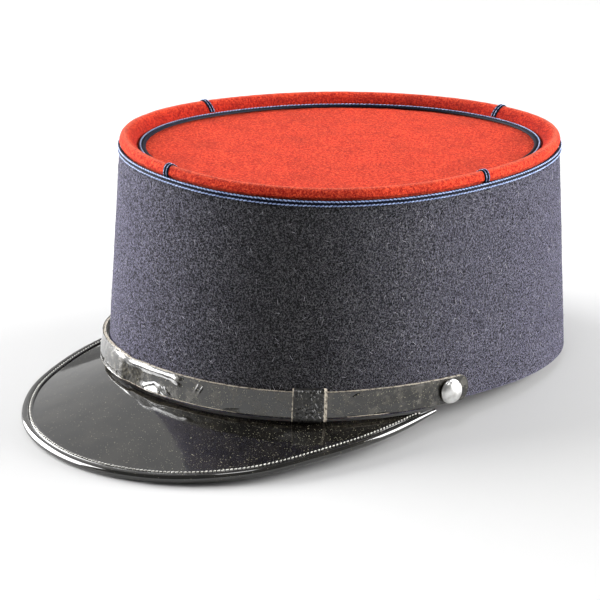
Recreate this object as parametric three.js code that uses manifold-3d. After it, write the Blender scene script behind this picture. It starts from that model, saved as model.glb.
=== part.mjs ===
// An officer's cap: a tall oval band of navy felt with a padded scarlet rim round a sunken scarlet
// top, trimmed with navy braid, a sloping patent leather peak with a rolled edge, and a patent
// leather strap buttoned across the front.
//
// Millimetres, +Z up. The cap is modelled upright on the plane of its lower edge, with the front
// towards -Y and the wearer's left towards +X. Then it is leaned back until it rests as it does
// on a table, on the edge of its peak and the back of its band, with the middle of its outline
// box at the origin.

import * as THREE from 'three';
import { mergeVertices } from 'three/addons/utils/BufferGeometryUtils.js';
import Module from 'manifold-3d';

// Band
const bandHalfWidth = 83.7;
const bandHalfDepth = 102.3;
const topHalfWidth = 82.6;
const topHalfDepth = 97.2;
const topForward = 2.0;
const bandOvalExponent = 2.25;
const topOvalExponent = 2.14;
const frontHeight = 87.2;
const backHeight = 85.4;
const edgeWarp = 2.8;
const bandWall = 2.8;
const seamRecess = 0.6;
const seamHeight = 1.5;
const frontDip = 1.3;

// Space between pieces that are sewn or laid on each other
const clearance = 0.3;

// Rim and top
const rimWidth = 7.6;
const rimHeight = 4.6;
const topThickness = 2.0;

// Braid
const outerBraidHeight = 2.55;
const outerBraidProud = 0.6;
const braidGroove = 0.3;
const innerBraidWidth = 3.2;
const innerBraidThickness = 0.9;
const barWidth = 3.1;
const barThickness = 0.7;
const frontBarDegrees = -1.4;
const leftBarDegrees = 90.1;
const backBarDegrees = 177.4;
const rightBarDegrees = -87.4;

// Peak
const peakReach = 50.5;
const peakEndDegrees = 74.6;
const peakSlopeDegrees = 19.9;
const peakDrop = 2.2;
const peakThickness = 1.2;
const bindingWall = 1.0;
const bindingFlap = 3.4;

// Strap, keeper and buttons
const strapHeight = 11.0;
const strapThickness = 1.5;
const strapEndPastButton = 9.9;
const strapCorner = 4.0;
const strapBevel = 0.4;
const strapBowDegrees = 14;
const keeperDegrees = 43.7;
const keeperLength = 13.4;
const keeperWall = 1.0;
const buttonDegrees = 78.4;
const buttonRadius = 5.1;
const buttonHeight = 3.6;
const buttonRimHeight = 1.4;
const shankRadius = 1.3;
const footRadius = 2.4;
const footThickness = 1.0;

// How finely the curves are cut, and how close two corners lie that are one
const ringSegments = 96;
const peakSegments = 48;
const strapSegments = 48;
const cornerSegments = 4;
const rollSegments = 6;
const buttonSegments = 24;
const holeSegments = 16;
const weldDistance = 1e-4;

// The rim's section. across: share of rimWidth in from the band's face. rise: share of the
// height from the rim's foot to its crest.
const rimSection = [
  { across: 0.08, rise: 0.00 },
  { across: 0.07, rise: 0.17 },
  { across: 0.00, rise: 0.34 },
  { across: 0.01, rise: 0.58 },
  { across: 0.09, rise: 0.81 },
  { across: 0.23, rise: 0.96 },
  { across: 0.39, rise: 1.00 },
  { across: 0.56, rise: 0.93 },
  { across: 0.73, rise: 0.72 },
  { across: 0.87, rise: 0.43 },
  { across: 0.97, rise: 0.22 },
  { across: 1.00, rise: 0.00 },
];
const firstBarRowIndex = 2;
const lastBarRowIndex = 10;

// The peak's outline. around: share of peakEndDegrees away from the front. reach: share of
// peakReach at that place.
const peakOutline = [
  { around: 0.00, reach: 1.000 },
  { around: 0.23, reach: 0.925 },
  { around: 0.43, reach: 0.725 },
  { around: 0.61, reach: 0.460 },
  { around: 0.80, reach: 0.240 },
  { around: 0.92, reach: 0.120 },
  { around: 1.00, reach: 0.060 },
];

const peakEnd = THREE.MathUtils.degToRad(peakEndDegrees);
const peakSlope = THREE.MathUtils.degToRad(peakSlopeDegrees);
const buttonAngle = THREE.MathUtils.degToRad(buttonDegrees);
const keeperAngle = THREE.MathUtils.degToRad(keeperDegrees);
const strapBow = THREE.MathUtils.degToRad(strapBowDegrees);
const bindingRadius = peakThickness / 2 + clearance + bindingWall;
const rimFoot = seamHeight + clearance;
const rimCrest = outerBraidHeight + rimHeight;
const strapStandOff = keeperWall + clearance;

const wasm = await Module();
wasm.setup();

// Surfaces of the cap. An angle is measured from the front, positive to the wearer's left.

function ovalPoint(angle, halfWidth, halfDepth, exponent, forward) {
  const across = Math.sin(angle);
  const along = -Math.cos(angle);
  const sum = Math.abs(across) ** exponent + Math.abs(along) ** exponent;
  const reach = sum ** (-1 / exponent);
  return new THREE.Vector2(halfWidth * across * reach, halfDepth * along * reach - forward);
}

function outlinePoint(angle, share) {
  const low = ovalPoint(angle, bandHalfWidth, bandHalfDepth, bandOvalExponent, 0);
  const high = ovalPoint(angle, topHalfWidth, topHalfDepth, topOvalExponent, topForward);
  return low.lerp(high, share);
}

// Height of the band's upper edge over a place in plan. The edge is a little warped: one
// diagonal stands higher than the other.
function edgeHeight(x, y) {
  const across = x / topHalfWidth;
  const along = (y + topForward) / topHalfDepth;
  return THREE.MathUtils.lerp(frontHeight, backHeight, (along + 1) / 2) + edgeWarp * across * along;
}

function edgeHeightAt(angle) {
  const point = outlinePoint(angle, 1);
  return edgeHeight(point.x, point.y);
}

// A point on the band's tapered wall, moved out from it by outset.
function wallPoint(angle, height, outset) {
  const step = 1e-4;
  const share = THREE.MathUtils.clamp(height / edgeHeightAt(angle), 0, 1);
  const here = outlinePoint(angle, share);
  const along = outlinePoint(angle + step, share).sub(outlinePoint(angle - step, share)).normalize();
  return new THREE.Vector3(here.x + along.y * outset, here.y - along.x * outset, height);
}

// A point over the surface that the band's upper edge lies in, moved out from the wall by outset.
function edgePoint(angle, rise, outset) {
  const point = wallPoint(angle, edgeHeightAt(angle), outset);
  return point.setZ(edgeHeight(point.x, point.y) + rise);
}

// The angle that a short length of the wall spans at a place.
function angleOf(length, angle, height) {
  const step = 1e-3;
  const ahead = wallPoint(angle + step, height, 0);
  const behind = wallPoint(angle - step, height, 0);
  return length * 2 * step / ahead.distanceTo(behind);
}

// Solids from rows of points

// Drops faces that have shrunk to a line and turns the rest to point out of the solid.
function facingOut(geometry) {
  const index = geometry.getIndex().array;
  const corner = (i) => new THREE.Vector3().fromBufferAttribute(geometry.getAttribute('position'), i);
  const kept = [];
  let volume = 0;
  for (let i = 0; i < index.length; i += 3) {
    const [a, b, c] = [index[i], index[i + 1], index[i + 2]];
    if (a !== b && b !== c && c !== a) {
      kept.push([a, b, c]);
      volume += corner(a).dot(corner(b).cross(corner(c)));
    }
  }
  geometry.setIndex((volume > 0 ? kept : kept.map(([a, b, c]) => [a, c, b])).flat());
  return geometry;
}

function closedBody(points, faces) {
  const geometry = new THREE.BufferGeometry();
  const values = points.flatMap((point) => point.toArray());
  geometry.setAttribute('position', new THREE.Float32BufferAttribute(values, 3));
  geometry.setIndex(faces.flat());
  return facingOut(mergeVertices(geometry, weldDistance));
}

// Skins rows of points, each row a closed outline. A looped sweep joins its last row to its
// first, and any other has its two end outlines filled.
function sweep(rows, endOutline = null) {
  const count = rows[0].length;
  const looped = endOutline === null;
  const faces = [];
  for (let i = 0; i < (looped ? rows.length : rows.length - 1); i++) {
    const next = (i + 1) % rows.length;
    for (let j = 0; j < count; j++) {
      const after = (j + 1) % count;
      faces.push([i * count + j, next * count + j, next * count + after]);
      faces.push([i * count + j, next * count + after, i * count + after]);
    }
  }
  if (!looped) {
    const last = (rows.length - 1) * count;
    for (const [a, b, c] of THREE.ShapeUtils.triangulateShape(endOutline, [])) {
      faces.push([a, b, c]);
      faces.push([last + a, last + c, last + b]);
    }
  }
  return closedBody(rows.flat(), faces);
}

// A ring round the whole cap, from a section given as [outset, rise] pairs for each angle.
function ring(sectionAt, place) {
  const rows = [];
  for (let i = 0; i < ringSegments; i++) {
    const angle = 2 * Math.PI * i / ringSegments;
    rows.push(sectionAt(angle).map(([outset, rise]) => place(angle, rise, outset)));
  }
  return sweep(rows);
}

function spread(from, to, steps) {
  return Array.from({ length: steps + 1 }, (_, i) => THREE.MathUtils.lerp(from, to, i / steps));
}

function toManifold(geometry) {
  const vertProperties = new Float32Array(geometry.getAttribute('position').array);
  const triVerts = new Uint32Array(geometry.getIndex().array);
  return new wasm.Manifold(new wasm.Mesh({ numProp: 3, vertProperties, triVerts }));
}

function cutAway(geometry, cutters) {
  let solid = toManifold(geometry);
  for (const cutter of cutters) {
    solid = solid.subtract(toManifold(cutter));
  }
  const mesh = solid.getMesh();
  const result = new THREE.BufferGeometry();
  result.setAttribute('position', new THREE.BufferAttribute(new Float32Array(mesh.vertProperties), 3));
  result.setIndex(new THREE.BufferAttribute(new Uint32Array(mesh.triVerts), 1));
  return result;
}

function bare(geometry) {
  geometry.deleteAttribute('normal');
  geometry.deleteAttribute('uv');
  return mergeVertices(geometry, weldDistance);
}

// Band, rim and top

// The front of the band is cut lower, where the peak is sewn on.
function bandFloor(angle) {
  const fromFront = Math.abs(Math.atan2(Math.sin(angle), Math.cos(angle)));
  return fromFront < peakEnd ? -frontDip : 0;
}

function bandGeometry() {
  const section = (angle) => {
    const edge = edgeHeightAt(angle);
    const floor = bandFloor(angle);
    return [
      [0, floor],
      [0, edge - seamRecess],
      [-seamRecess, edge],
      [-seamRecess, edge + seamHeight],
      [-bandWall, edge + seamHeight],
      [-bandWall, floor],
    ];
  };
  return cutAway(ring(section, wallPoint), [-1, 1].map(buttonHole));
}

function rimPoint(row) {
  return [-row.across * rimWidth, THREE.MathUtils.lerp(rimFoot, rimCrest, row.rise)];
}

function rimGeometry() {
  const section = rimSection.map(rimPoint);
  return ring(() => section, edgePoint);
}

// The sunken top is one flat sheet of felt inside the band's upper edge, under the rim.
function topGeometry() {
  const edgeOutset = -bandWall - clearance;
  const middle = new THREE.Vector3(0, -topForward, 0);
  const middleAt = (rise) => middle.clone().setZ(edgeHeight(0, -topForward) + rise);
  const under = seamHeight - topThickness;
  const rows = [];
  for (let i = 0; i < ringSegments; i++) {
    const angle = 2 * Math.PI * i / ringSegments;
    const half = (rise) => {
      const point = edgePoint(angle, rise, edgeOutset).lerp(middleAt(rise), 0.5);
      return point.setZ(edgeHeight(point.x, point.y) + rise);
    };
    rows.push([
      middleAt(under),
      half(under),
      edgePoint(angle, under, edgeOutset),
      edgePoint(angle, seamHeight, edgeOutset),
      half(seamHeight),
      middleAt(seamHeight),
    ]);
  }
  return sweep(rows);
}

// Braid

function outerBraidGeometry() {
  const back = clearance - seamRecess;
  const groove = outerBraidProud - braidGroove;
  const section = [
    [back, 0],
    [groove, 0],
    [outerBraidProud, outerBraidHeight / 4],
    [groove, outerBraidHeight / 2],
    [outerBraidProud, outerBraidHeight * 3 / 4],
    [groove, outerBraidHeight],
    [back, outerBraidHeight],
  ];
  return ring(() => section, edgePoint);
}

function innerBraidGeometry() {
  const outer = -rimWidth - clearance;
  const low = seamHeight + clearance;
  const high = low + innerBraidThickness;
  const edge = high - braidGroove;
  const section = [
    [outer, low],
    [outer, edge],
    [outer - innerBraidWidth / 4, high],
    [outer - innerBraidWidth / 2, edge],
    [outer - innerBraidWidth * 3 / 4, high],
    [outer - innerBraidWidth, edge],
    [outer - innerBraidWidth, low],
  ];
  return ring(() => section, edgePoint);
}

function offsetPath(path, distance) {
  return path.map((point, i) => {
    const before = path[Math.max(i - 1, 0)];
    const after = path[Math.min(i + 1, path.length - 1)];
    const along = new THREE.Vector2(after[0] - before[0], after[1] - before[1]).normalize();
    return [point[0] + along.y * distance, point[1] - along.x * distance];
  });
}

// A short bar of braid laid over the rim, from the outer braid to the inner one.
function barGeometry(degrees) {
  const angle = THREE.MathUtils.degToRad(degrees);
  const rim = rimSection.slice(firstBarRowIndex, lastBarRowIndex + 1).map(rimPoint);
  const path = [[0, outerBraidHeight + clearance], ...rim];
  const under = offsetPath(path, clearance);
  const over = offsetPath(path, clearance + barThickness);
  const outline = [...under.reverse(), ...over];
  const halfTurn = angleOf(barWidth / 2, angle, edgeHeightAt(angle));
  const rows = [angle - halfTurn, angle, angle + halfTurn].map(
    (turn) => outline.map(([outset, rise]) => edgePoint(turn, rise, outset)),
  );
  return sweep(rows, outline.map(([outset, rise]) => new THREE.Vector2(outset, rise)));
}

// Peak

// A point of the sloping peak: out along the slope from the band's edge, and up from its
// middle surface.
function peakPoint(angle, out, up) {
  const outset = out * Math.cos(peakSlope) + up * Math.sin(peakSlope);
  const height = up * Math.cos(peakSlope) - out * Math.sin(peakSlope) - peakDrop;
  return wallPoint(angle, 0, outset).setZ(height);
}

// The middle of the rolled edge all round the peak: its angle and its distance out.
function peakEdge() {
  const rows = [...peakOutline.slice(1).reverse().map(({ around, reach }) => [-around, reach]),
    ...peakOutline.map(({ around, reach }) => [around, reach])];
  const curve = new THREE.SplineCurve(rows.map(([around, reach]) => new THREE.Vector2(
    around * peakEnd,
    Math.max(reach * peakReach - bindingRadius, bindingRadius / 2),
  )));
  return curve.getPoints(peakSegments).map((point) => ({ angle: point.x, out: point.y }));
}

function peakGeometry() {
  const half = peakThickness / 2;
  const root = clearance / Math.cos(peakSlope);
  const outlineAt = ({ out }) => [[root, -half], [out, -half], [out, half], [root, half]];
  const edge = peakEdge();
  const rows = edge.map((place) => outlineAt(place).map(([out, up]) => peakPoint(place.angle, out, up)));
  return sweep(rows, outlineAt(edge[0]).map(([out, up]) => new THREE.Vector2(out, up)));
}

// The binding is a rolled strip of leather, folded over the peak's edge.
function bindingGeometry() {
  const slot = peakThickness / 2 + clearance;
  const outlineAt = ({ out }) => {
    const inner = Math.max(out - bindingFlap, Math.min(out - clearance, 2 * clearance));
    const roll = spread(-Math.PI / 2, Math.PI / 2, rollSegments).map(
      (turn) => [out + bindingRadius * Math.cos(turn), bindingRadius * Math.sin(turn)],
    );
    return [
      [inner, -bindingRadius],
      ...roll,
      [inner, bindingRadius],
      [inner, slot],
      [out + clearance, slot],
      [out + clearance, -slot],
      [inner, -slot],
    ];
  };
  const edge = peakEdge();
  const rows = edge.map((place) => outlineAt(place).map(([out, up]) => peakPoint(place.angle, out, up)));
  return sweep(rows, outlineAt(edge[0]).map(([out, up]) => new THREE.Vector2(out, up)));
}

// Strap, keeper and buttons

// The strap lies against the band at its buttons and at the front, and bows away between them,
// where the keeper passes behind it.
function strapBack(angle) {
  const away = (Math.abs(angle) - keeperAngle) / strapBow;
  return clearance + strapStandOff * Math.exp(-away * away);
}

function strapGeometry() {
  const middle = strapHeight / 2;
  const end = buttonAngle + angleOf(strapEndPastButton, buttonAngle, middle);
  const corner = angleOf(strapCorner, end, middle);
  const turns = spread(0, Math.PI / 2, cornerSegments).slice(0, -1);
  const ending = turns.map((turn) => ({
    angle: end - corner * (1 - Math.cos(turn)),
    trim: strapCorner * (1 - Math.sin(turn)),
  }));
  const plain = spread(corner - end, end - corner, strapSegments).map((angle) => ({ angle, trim: 0 }));
  const places = [
    ...ending.map(({ angle, trim }) => ({ angle: -angle, trim })),
    ...plain,
    ...ending.reverse(),
  ];
  const outlineAt = ({ angle, trim }) => {
    const back = strapBack(angle);
    const front = back + strapThickness;
    const low = trim;
    const high = strapHeight - trim;
    return [
      [back, low],
      [front - strapBevel, low],
      [front, low + strapBevel],
      [front, high - strapBevel],
      [front - strapBevel, high],
      [back, high],
    ];
  };
  const rows = places.map(
    (place) => outlineAt(place).map(([outset, height]) => wallPoint(place.angle, height, outset)),
  );
  const ends = outlineAt(places[0]).map(([outset, height]) => new THREE.Vector2(outset, height));
  return cutAway(sweep(rows, ends), [-1, 1].map(buttonHole));
}

function keeperGeometry() {
  const half = angleOf(keeperLength / 2, keeperAngle, strapHeight / 2);
  const angles = spread(keeperAngle - half, keeperAngle + half, 4);
  const loopPoint = (angle, side, level, gap) => {
    const outset = side < 0 ? strapBack(angle) - gap : strapBack(angle) + strapThickness + gap;
    return wallPoint(angle, level < 0 ? -gap : strapHeight + gap, outset);
  };
  const corners = [[-1, -1], [1, -1], [1, 1], [-1, 1]];
  const rows = corners.map(([side, level]) => [
    ...angles.map((angle) => loopPoint(angle, side, level, clearance + keeperWall)),
    ...angles.map((angle) => loopPoint(angle, side, level, clearance)).reverse(),
  ]);
  return sweep(rows);
}

// Turns and places a shape that stands along Y, so that it stands out from the band at a button.
function seatButton(geometry, side, outset) {
  const angle = side * buttonAngle;
  const seat = wallPoint(angle, strapHeight / 2, outset);
  const outward = wallPoint(angle, strapHeight / 2, outset + 1).sub(seat);
  const turn = new THREE.Quaternion().setFromUnitVectors(new THREE.Vector3(0, 1, 0), outward.normalize());
  return geometry.applyQuaternion(turn).translate(seat.x, seat.y, seat.z);
}

function buttonHole(side) {
  const length = 4 * (bandWall + strapThickness);
  const radius = shankRadius + clearance;
  return seatButton(bare(new THREE.CylinderGeometry(radius, radius, length, holeSegments)), side, 0);
}

// A domed button with a plain shank through strap and band, ended by a flat foot.
function buttonGeometry(side) {
  const front = strapBack(buttonAngle) + strapThickness + clearance;
  const shank = front + bandWall + clearance;
  const dome = spread(0, Math.PI / 2, rollSegments).map((turn) => new THREE.Vector2(
    buttonRadius * Math.cos(turn),
    buttonRimHeight + (buttonHeight - buttonRimHeight) * Math.sin(turn),
  ));
  const profile = [
    new THREE.Vector2(0, -shank - footThickness),
    new THREE.Vector2(footRadius, -shank - footThickness),
    new THREE.Vector2(footRadius, -shank),
    new THREE.Vector2(shankRadius, -shank),
    new THREE.Vector2(shankRadius, 0),
    new THREE.Vector2(buttonRadius - buttonRimHeight / 2, 0),
    new THREE.Vector2(buttonRadius, buttonRimHeight / 2),
    ...dome.slice(0, -1),
    new THREE.Vector2(0, buttonHeight),
  ];
  return seatButton(facingOut(bare(new THREE.LatheGeometry(profile, buttonSegments))), side, front);
}

// Materials

const navyFelt = new THREE.MeshStandardMaterial({ color: '#33333f', roughness: 0.95, metalness: 0 });
const scarletFelt = new THREE.MeshStandardMaterial({ color: '#d93a22', roughness: 0.95, metalness: 0 });
const navyBraid = new THREE.MeshStandardMaterial({ color: '#1c2c50', roughness: 0.55, metalness: 0 });
const patentLeather = new THREE.MeshStandardMaterial({ color: '#111113', roughness: 0.12, metalness: 0 });
const silverMetal = new THREE.MeshStandardMaterial({ color: '#d4d6da', roughness: 0.25, metalness: 1 });

const cap = new THREE.Group();

function addPiece(name, geometry, material) {
  const mesh = new THREE.Mesh(geometry, material);
  mesh.name = name;
  cap.add(mesh);
  return mesh;
}

addPiece('band', bandGeometry(), navyFelt);
addPiece('rim', rimGeometry(), scarletFelt);
addPiece('top', topGeometry(), scarletFelt);
addPiece('outer_braid', outerBraidGeometry(), navyBraid);
addPiece('inner_braid', innerBraidGeometry(), navyBraid);
addPiece('front_bar', barGeometry(frontBarDegrees), navyBraid);
addPiece('left_bar', barGeometry(leftBarDegrees), navyBraid);
addPiece('back_bar', barGeometry(backBarDegrees), navyBraid);
addPiece('right_bar', barGeometry(rightBarDegrees), navyBraid);
addPiece('peak', peakGeometry(), patentLeather);
const binding = addPiece('peak_binding', bindingGeometry(), patentLeather);
addPiece('chin_strap', strapGeometry(), patentLeather);
addPiece('strap_keeper', keeperGeometry(), patentLeather);
addPiece('button_left', buttonGeometry(1), silverMetal);
addPiece('button_right', buttonGeometry(-1), silverMetal);

// The cap leans back about its lowest back edge until the peak's rolled edge is on the table.
function leanAngle(mesh) {
  const position = mesh.geometry.getAttribute('position');
  let lean = 0;
  for (let i = 0; i < position.count; i++) {
    lean = Math.max(lean, Math.atan2(-position.getZ(i), bandHalfDepth - position.getY(i)));
  }
  return lean;
}

cap.rotation.x = -leanAngle(binding);

const officerCap = new THREE.Group();
officerCap.add(cap);
officerCap.updateMatrixWorld(true);

const outlineBox = new THREE.Box3().setFromObject(cap, true);
const middle = outlineBox.getCenter(new THREE.Vector3());
cap.position.set(-middle.x, -middle.y, -outlineBox.min.z);

export default officerCap;
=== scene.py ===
"""Builds the looks of an officer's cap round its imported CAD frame.

Each piece is modelled in millimetres, with the cap upright, its front towards -Y and the wearer's
left towards +X. Then it is leaned back onto the edge of its peak and turned to metres, which is
the frame that the CAD nodes are in.
"""

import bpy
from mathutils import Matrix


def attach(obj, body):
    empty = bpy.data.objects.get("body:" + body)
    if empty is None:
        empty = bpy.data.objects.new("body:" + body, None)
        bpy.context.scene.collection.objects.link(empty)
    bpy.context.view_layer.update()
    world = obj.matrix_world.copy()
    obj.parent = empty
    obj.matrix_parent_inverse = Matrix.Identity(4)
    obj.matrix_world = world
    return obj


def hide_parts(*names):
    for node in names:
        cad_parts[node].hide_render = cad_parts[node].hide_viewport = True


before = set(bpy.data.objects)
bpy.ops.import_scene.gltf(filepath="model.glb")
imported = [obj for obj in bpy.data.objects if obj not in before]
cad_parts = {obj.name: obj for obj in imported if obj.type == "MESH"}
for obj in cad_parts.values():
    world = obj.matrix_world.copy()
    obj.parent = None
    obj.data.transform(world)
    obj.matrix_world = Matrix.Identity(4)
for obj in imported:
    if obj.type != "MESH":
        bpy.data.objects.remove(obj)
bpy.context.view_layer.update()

import logging
import math
from dataclasses import dataclass, field
from enum import Enum

import bmesh
import bpy
import numpy as np
from mathutils import Matrix, Vector

log = logging.getLogger("officer_cap")

MM = 0.001
BODY = "root"
SMALL_TURN = 1e-4
MERGE_DISTANCE = 0.001 * MM
AROUND = np.linspace(0, 2 * np.pi, 420, endpoint=False)

Socket = bpy.types.NodeSocket
Values = dict[str | int, object]

MATH = "ShaderNodeMath"
VECTOR_MATH = "ShaderNodeVectorMath"
VECTOR = "ShaderNodeCombineXYZ"
NOISE = "ShaderNodeTexNoise"
RANGE = "ShaderNodeMapRange"
RAMP = "ShaderNodeValToRGB"
MIX = "ShaderNodeMix"
BUMP = "ShaderNodeBump"
MARK = "ShaderNodeAttribute"
READ = "GeometryNodeInputNamedAttribute"
RANDOM = "FunctionNodeRandomValue"
SCATTER = "GeometryNodeInstanceOnPoints"


# Small helpers


def linear(colour: str) -> tuple[float, float, float, float]:
    """Turns an sRGB hex colour to the linear colour that Blender's sockets take.

    Args:
        colour: The colour as "#rrggbb".

    Returns:
        Linear red, green and blue, and an alpha of one.
    """
    parts = [int(colour[i:i + 2], 16) / 255 for i in (1, 3, 5)]
    red, green, blue = (p / 12.92 if p <= 0.04045 else ((p + 0.055) / 1.055) ** 2.4 for p in parts)
    return red, green, blue, 1.0


def add_object(name: str, data: bpy.types.ID) -> bpy.types.Object:
    """Adds an object to the scene.

    Args:
        name: The object's name.
        data: Its mesh, light or camera.

    Returns:
        The new object.
    """
    added = bpy.data.objects.new(name, data)
    bpy.context.scene.collection.objects.link(added)
    return added


def unit(vectors: np.ndarray) -> np.ndarray:
    """Brings vectors to length one."""
    return vectors / np.linalg.norm(vectors, axis=-1, keepdims=True)


def beside(along: np.ndarray) -> np.ndarray:
    """Unit directions square to those along a flat line, on its right."""
    along = unit(along)
    return np.stack([along[..., 1], -along[..., 0]], -1)


def smooth_step(low: float, high: float, value: np.ndarray) -> np.ndarray:
    """Rises smoothly from 0 at low to 1 at high."""
    share = np.clip((value - low) / (high - low), 0, 1)
    return share * share * (3 - 2 * share)


def arc(
    middle: tuple[float, float], radius: float, start: float, end: float, steps: int,
) -> list[tuple[float, float]]:
    """Points on an arc, with its angles in degrees.

    Args:
        middle: The arc's centre.
        radius: Its radius.
        start: The angle of its first point.
        end: The angle of its last point.
        steps: How many pieces the arc is cut into.

    Returns:
        A list of (across, up) pairs.
    """
    turns = np.radians(np.linspace(start, end, steps + 1))
    return [(middle[0] + radius * math.cos(t), middle[1] + radius * math.sin(t)) for t in turns]


def spline(rows: np.ndarray, count: int) -> np.ndarray:
    """Points on a uniform Catmull-Rom curve through rows.

    Args:
        rows: The points that the curve passes through.
        count: How many points to return.

    Returns:
        The curve's points, evenly spaced between the rows.
    """
    last = len(rows) - 1
    place = np.linspace(0, last, count)
    first = np.minimum(place.astype(int), last - 1)
    share = (place - first)[:, None]
    before, here, after, beyond = (rows[np.clip(first + k, 0, last)] for k in (-1, 0, 1, 2))
    leave, arrive = (after - before) / 2, (beyond - here) / 2
    cubic = 2 * here - 2 * after + leave + arrive
    square = -3 * here + 3 * after - 2 * leave - arrive
    return cubic * share**3 + square * share**2 + leave * share + here


# The cap's form


@dataclass(frozen=True)
class CapForm:
    """The surfaces that every piece follows, in millimetres, with the cap upright.

    An angle is in radians from the front, positive to the wearer's left.
    """

    band_half_width: float = 83.7
    band_half_depth: float = 102.3
    top_half_width: float = 82.6
    top_half_depth: float = 97.2
    top_forward: float = 2.0
    band_oval_exponent: float = 2.25
    top_oval_exponent: float = 2.14
    front_height: float = 87.2
    back_height: float = 85.4
    edge_warp: float = 2.8
    band_wall: float = 2.8
    seam_height: float = 1.5
    clearance: float = 0.3
    lean_degrees: float = 4.7017
    shift: tuple[float, float, float] = (0.0, 23.842, 8.385)

    def oval(self, angle: np.ndarray, low: bool) -> np.ndarray:
        """The oval outline of the band's lower or upper edge, in plan.

        Args:
            angle: Angles round the cap.
            low: Whether it is the lower edge.

        Returns:
            The outline's x and y, on the last axis.
        """
        if low:
            width, depth, exponent, forward = (
                self.band_half_width, self.band_half_depth, self.band_oval_exponent, 0.0)
        else:
            width, depth, exponent, forward = (
                self.top_half_width, self.top_half_depth, self.top_oval_exponent, self.top_forward)
        across, along = np.sin(angle), -np.cos(angle)
        reach = (np.abs(across) ** exponent + np.abs(along) ** exponent) ** (-1 / exponent)
        return np.stack([width * across * reach, depth * along * reach - forward], -1)

    def outline(self, angle: np.ndarray, share: np.ndarray) -> np.ndarray:
        """The band's outline in plan, at a share of the way from lower to upper edge."""
        share = share[..., None]
        return self.oval(angle, True) * (1 - share) + self.oval(angle, False) * share

    def edge_height(self, x: np.ndarray, y: np.ndarray) -> np.ndarray:
        """Height of the slightly warped surface that the band's upper edge lies in.

        Args:
            x: Places across the cap.
            y: Places along it.

        Returns:
            The heights there.
        """
        across = x / self.top_half_width
        along = (y + self.top_forward) / self.top_half_depth
        slope = self.front_height + (self.back_height - self.front_height) * (along + 1) / 2
        return slope + self.edge_warp * across * along

    def edge_height_at(self, angle: np.ndarray) -> np.ndarray:
        """Height of the band's upper edge at an angle."""
        point = self.oval(angle, False)
        return self.edge_height(point[..., 0], point[..., 1])

    def wall(self, angle: np.ndarray, height: np.ndarray, outset: np.ndarray) -> np.ndarray:
        """Points on the band's tapered wall, moved out from it.

        Args:
            angle: Angles round the cap.
            height: Heights above the band's lower edge.
            outset: Distances out from the wall.

        Returns:
            The points, with x, y and z on the last axis.
        """
        angle, height, outset = np.broadcast_arrays(
            *(np.asarray(values, float) for values in (angle, height, outset)))
        share = np.clip(height / self.edge_height_at(angle), 0, 1)
        here = self.outline(angle, share)
        along = self.outline(angle + SMALL_TURN, share) - self.outline(angle - SMALL_TURN, share)
        return np.concatenate([here + beside(along) * outset[..., None], height[..., None]], -1)

    def edge(self, angle: np.ndarray, rise: np.ndarray, outset: np.ndarray) -> np.ndarray:
        """Points over the surface that the band's upper edge lies in.

        Args:
            angle: Angles round the cap.
            rise: Heights above that surface.
            outset: Distances out from the wall.

        Returns:
            The points, with x, y and z on the last axis.
        """
        angle, rise, outset = np.broadcast_arrays(
            *(np.asarray(values, float) for values in (angle, rise, outset)))
        point = self.wall(angle, self.edge_height_at(angle), outset)
        point[..., 2] = self.edge_height(point[..., 0], point[..., 1]) + rise
        return point

    def ring(self, outline: np.ndarray) -> np.ndarray:
        """Carries an outline of (outset, rise) pairs all round the upper edge."""
        return self.edge(AROUND[:, None], outline[:, 1], outline[:, 0])

    def angle_of(self, length: float, angle: float, height: float) -> float:
        """The angle that a short length of the wall spans at a place."""
        ahead, behind = (self.wall(angle + s * SMALL_TURN, height, 0) for s in (1, -1))
        return length * 2 * SMALL_TURN / float(np.linalg.norm(ahead - behind))

    def placed(self, points: np.ndarray) -> np.ndarray:
        """Leans upright points back and moves them to their place in the CAD frame.

        Args:
            points: Points in millimetres, with the cap upright.

        Returns:
            The points in metres.
        """
        lean = math.radians(self.lean_degrees)
        x, y, z = points[..., 0], points[..., 1], points[..., 2]
        leaned = np.stack([
            x, y * math.cos(lean) + z * math.sin(lean), z * math.cos(lean) - y * math.sin(lean)], -1)
        return (leaned + np.array(self.shift)) * MM


FORM = CapForm()


# Meshes


def distances(points: np.ndarray, axis: int, looped: bool) -> np.ndarray:
    """Mean distance along one axis of a grid of points.

    Args:
        points: The grid, in millimetres.
        axis: The axis that the distance is measured along.
        looped: Whether the last point joins the first.

    Returns:
        Each point's distance in metres, starting at zero.
    """
    if looped:
        points = np.concatenate([points, points.take([0], axis)], axis)
    steps = np.linalg.norm(np.diff(points, axis=axis), axis=-1).mean(1 - axis)
    return np.concatenate([[0], np.cumsum(steps)]) * MM


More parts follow.
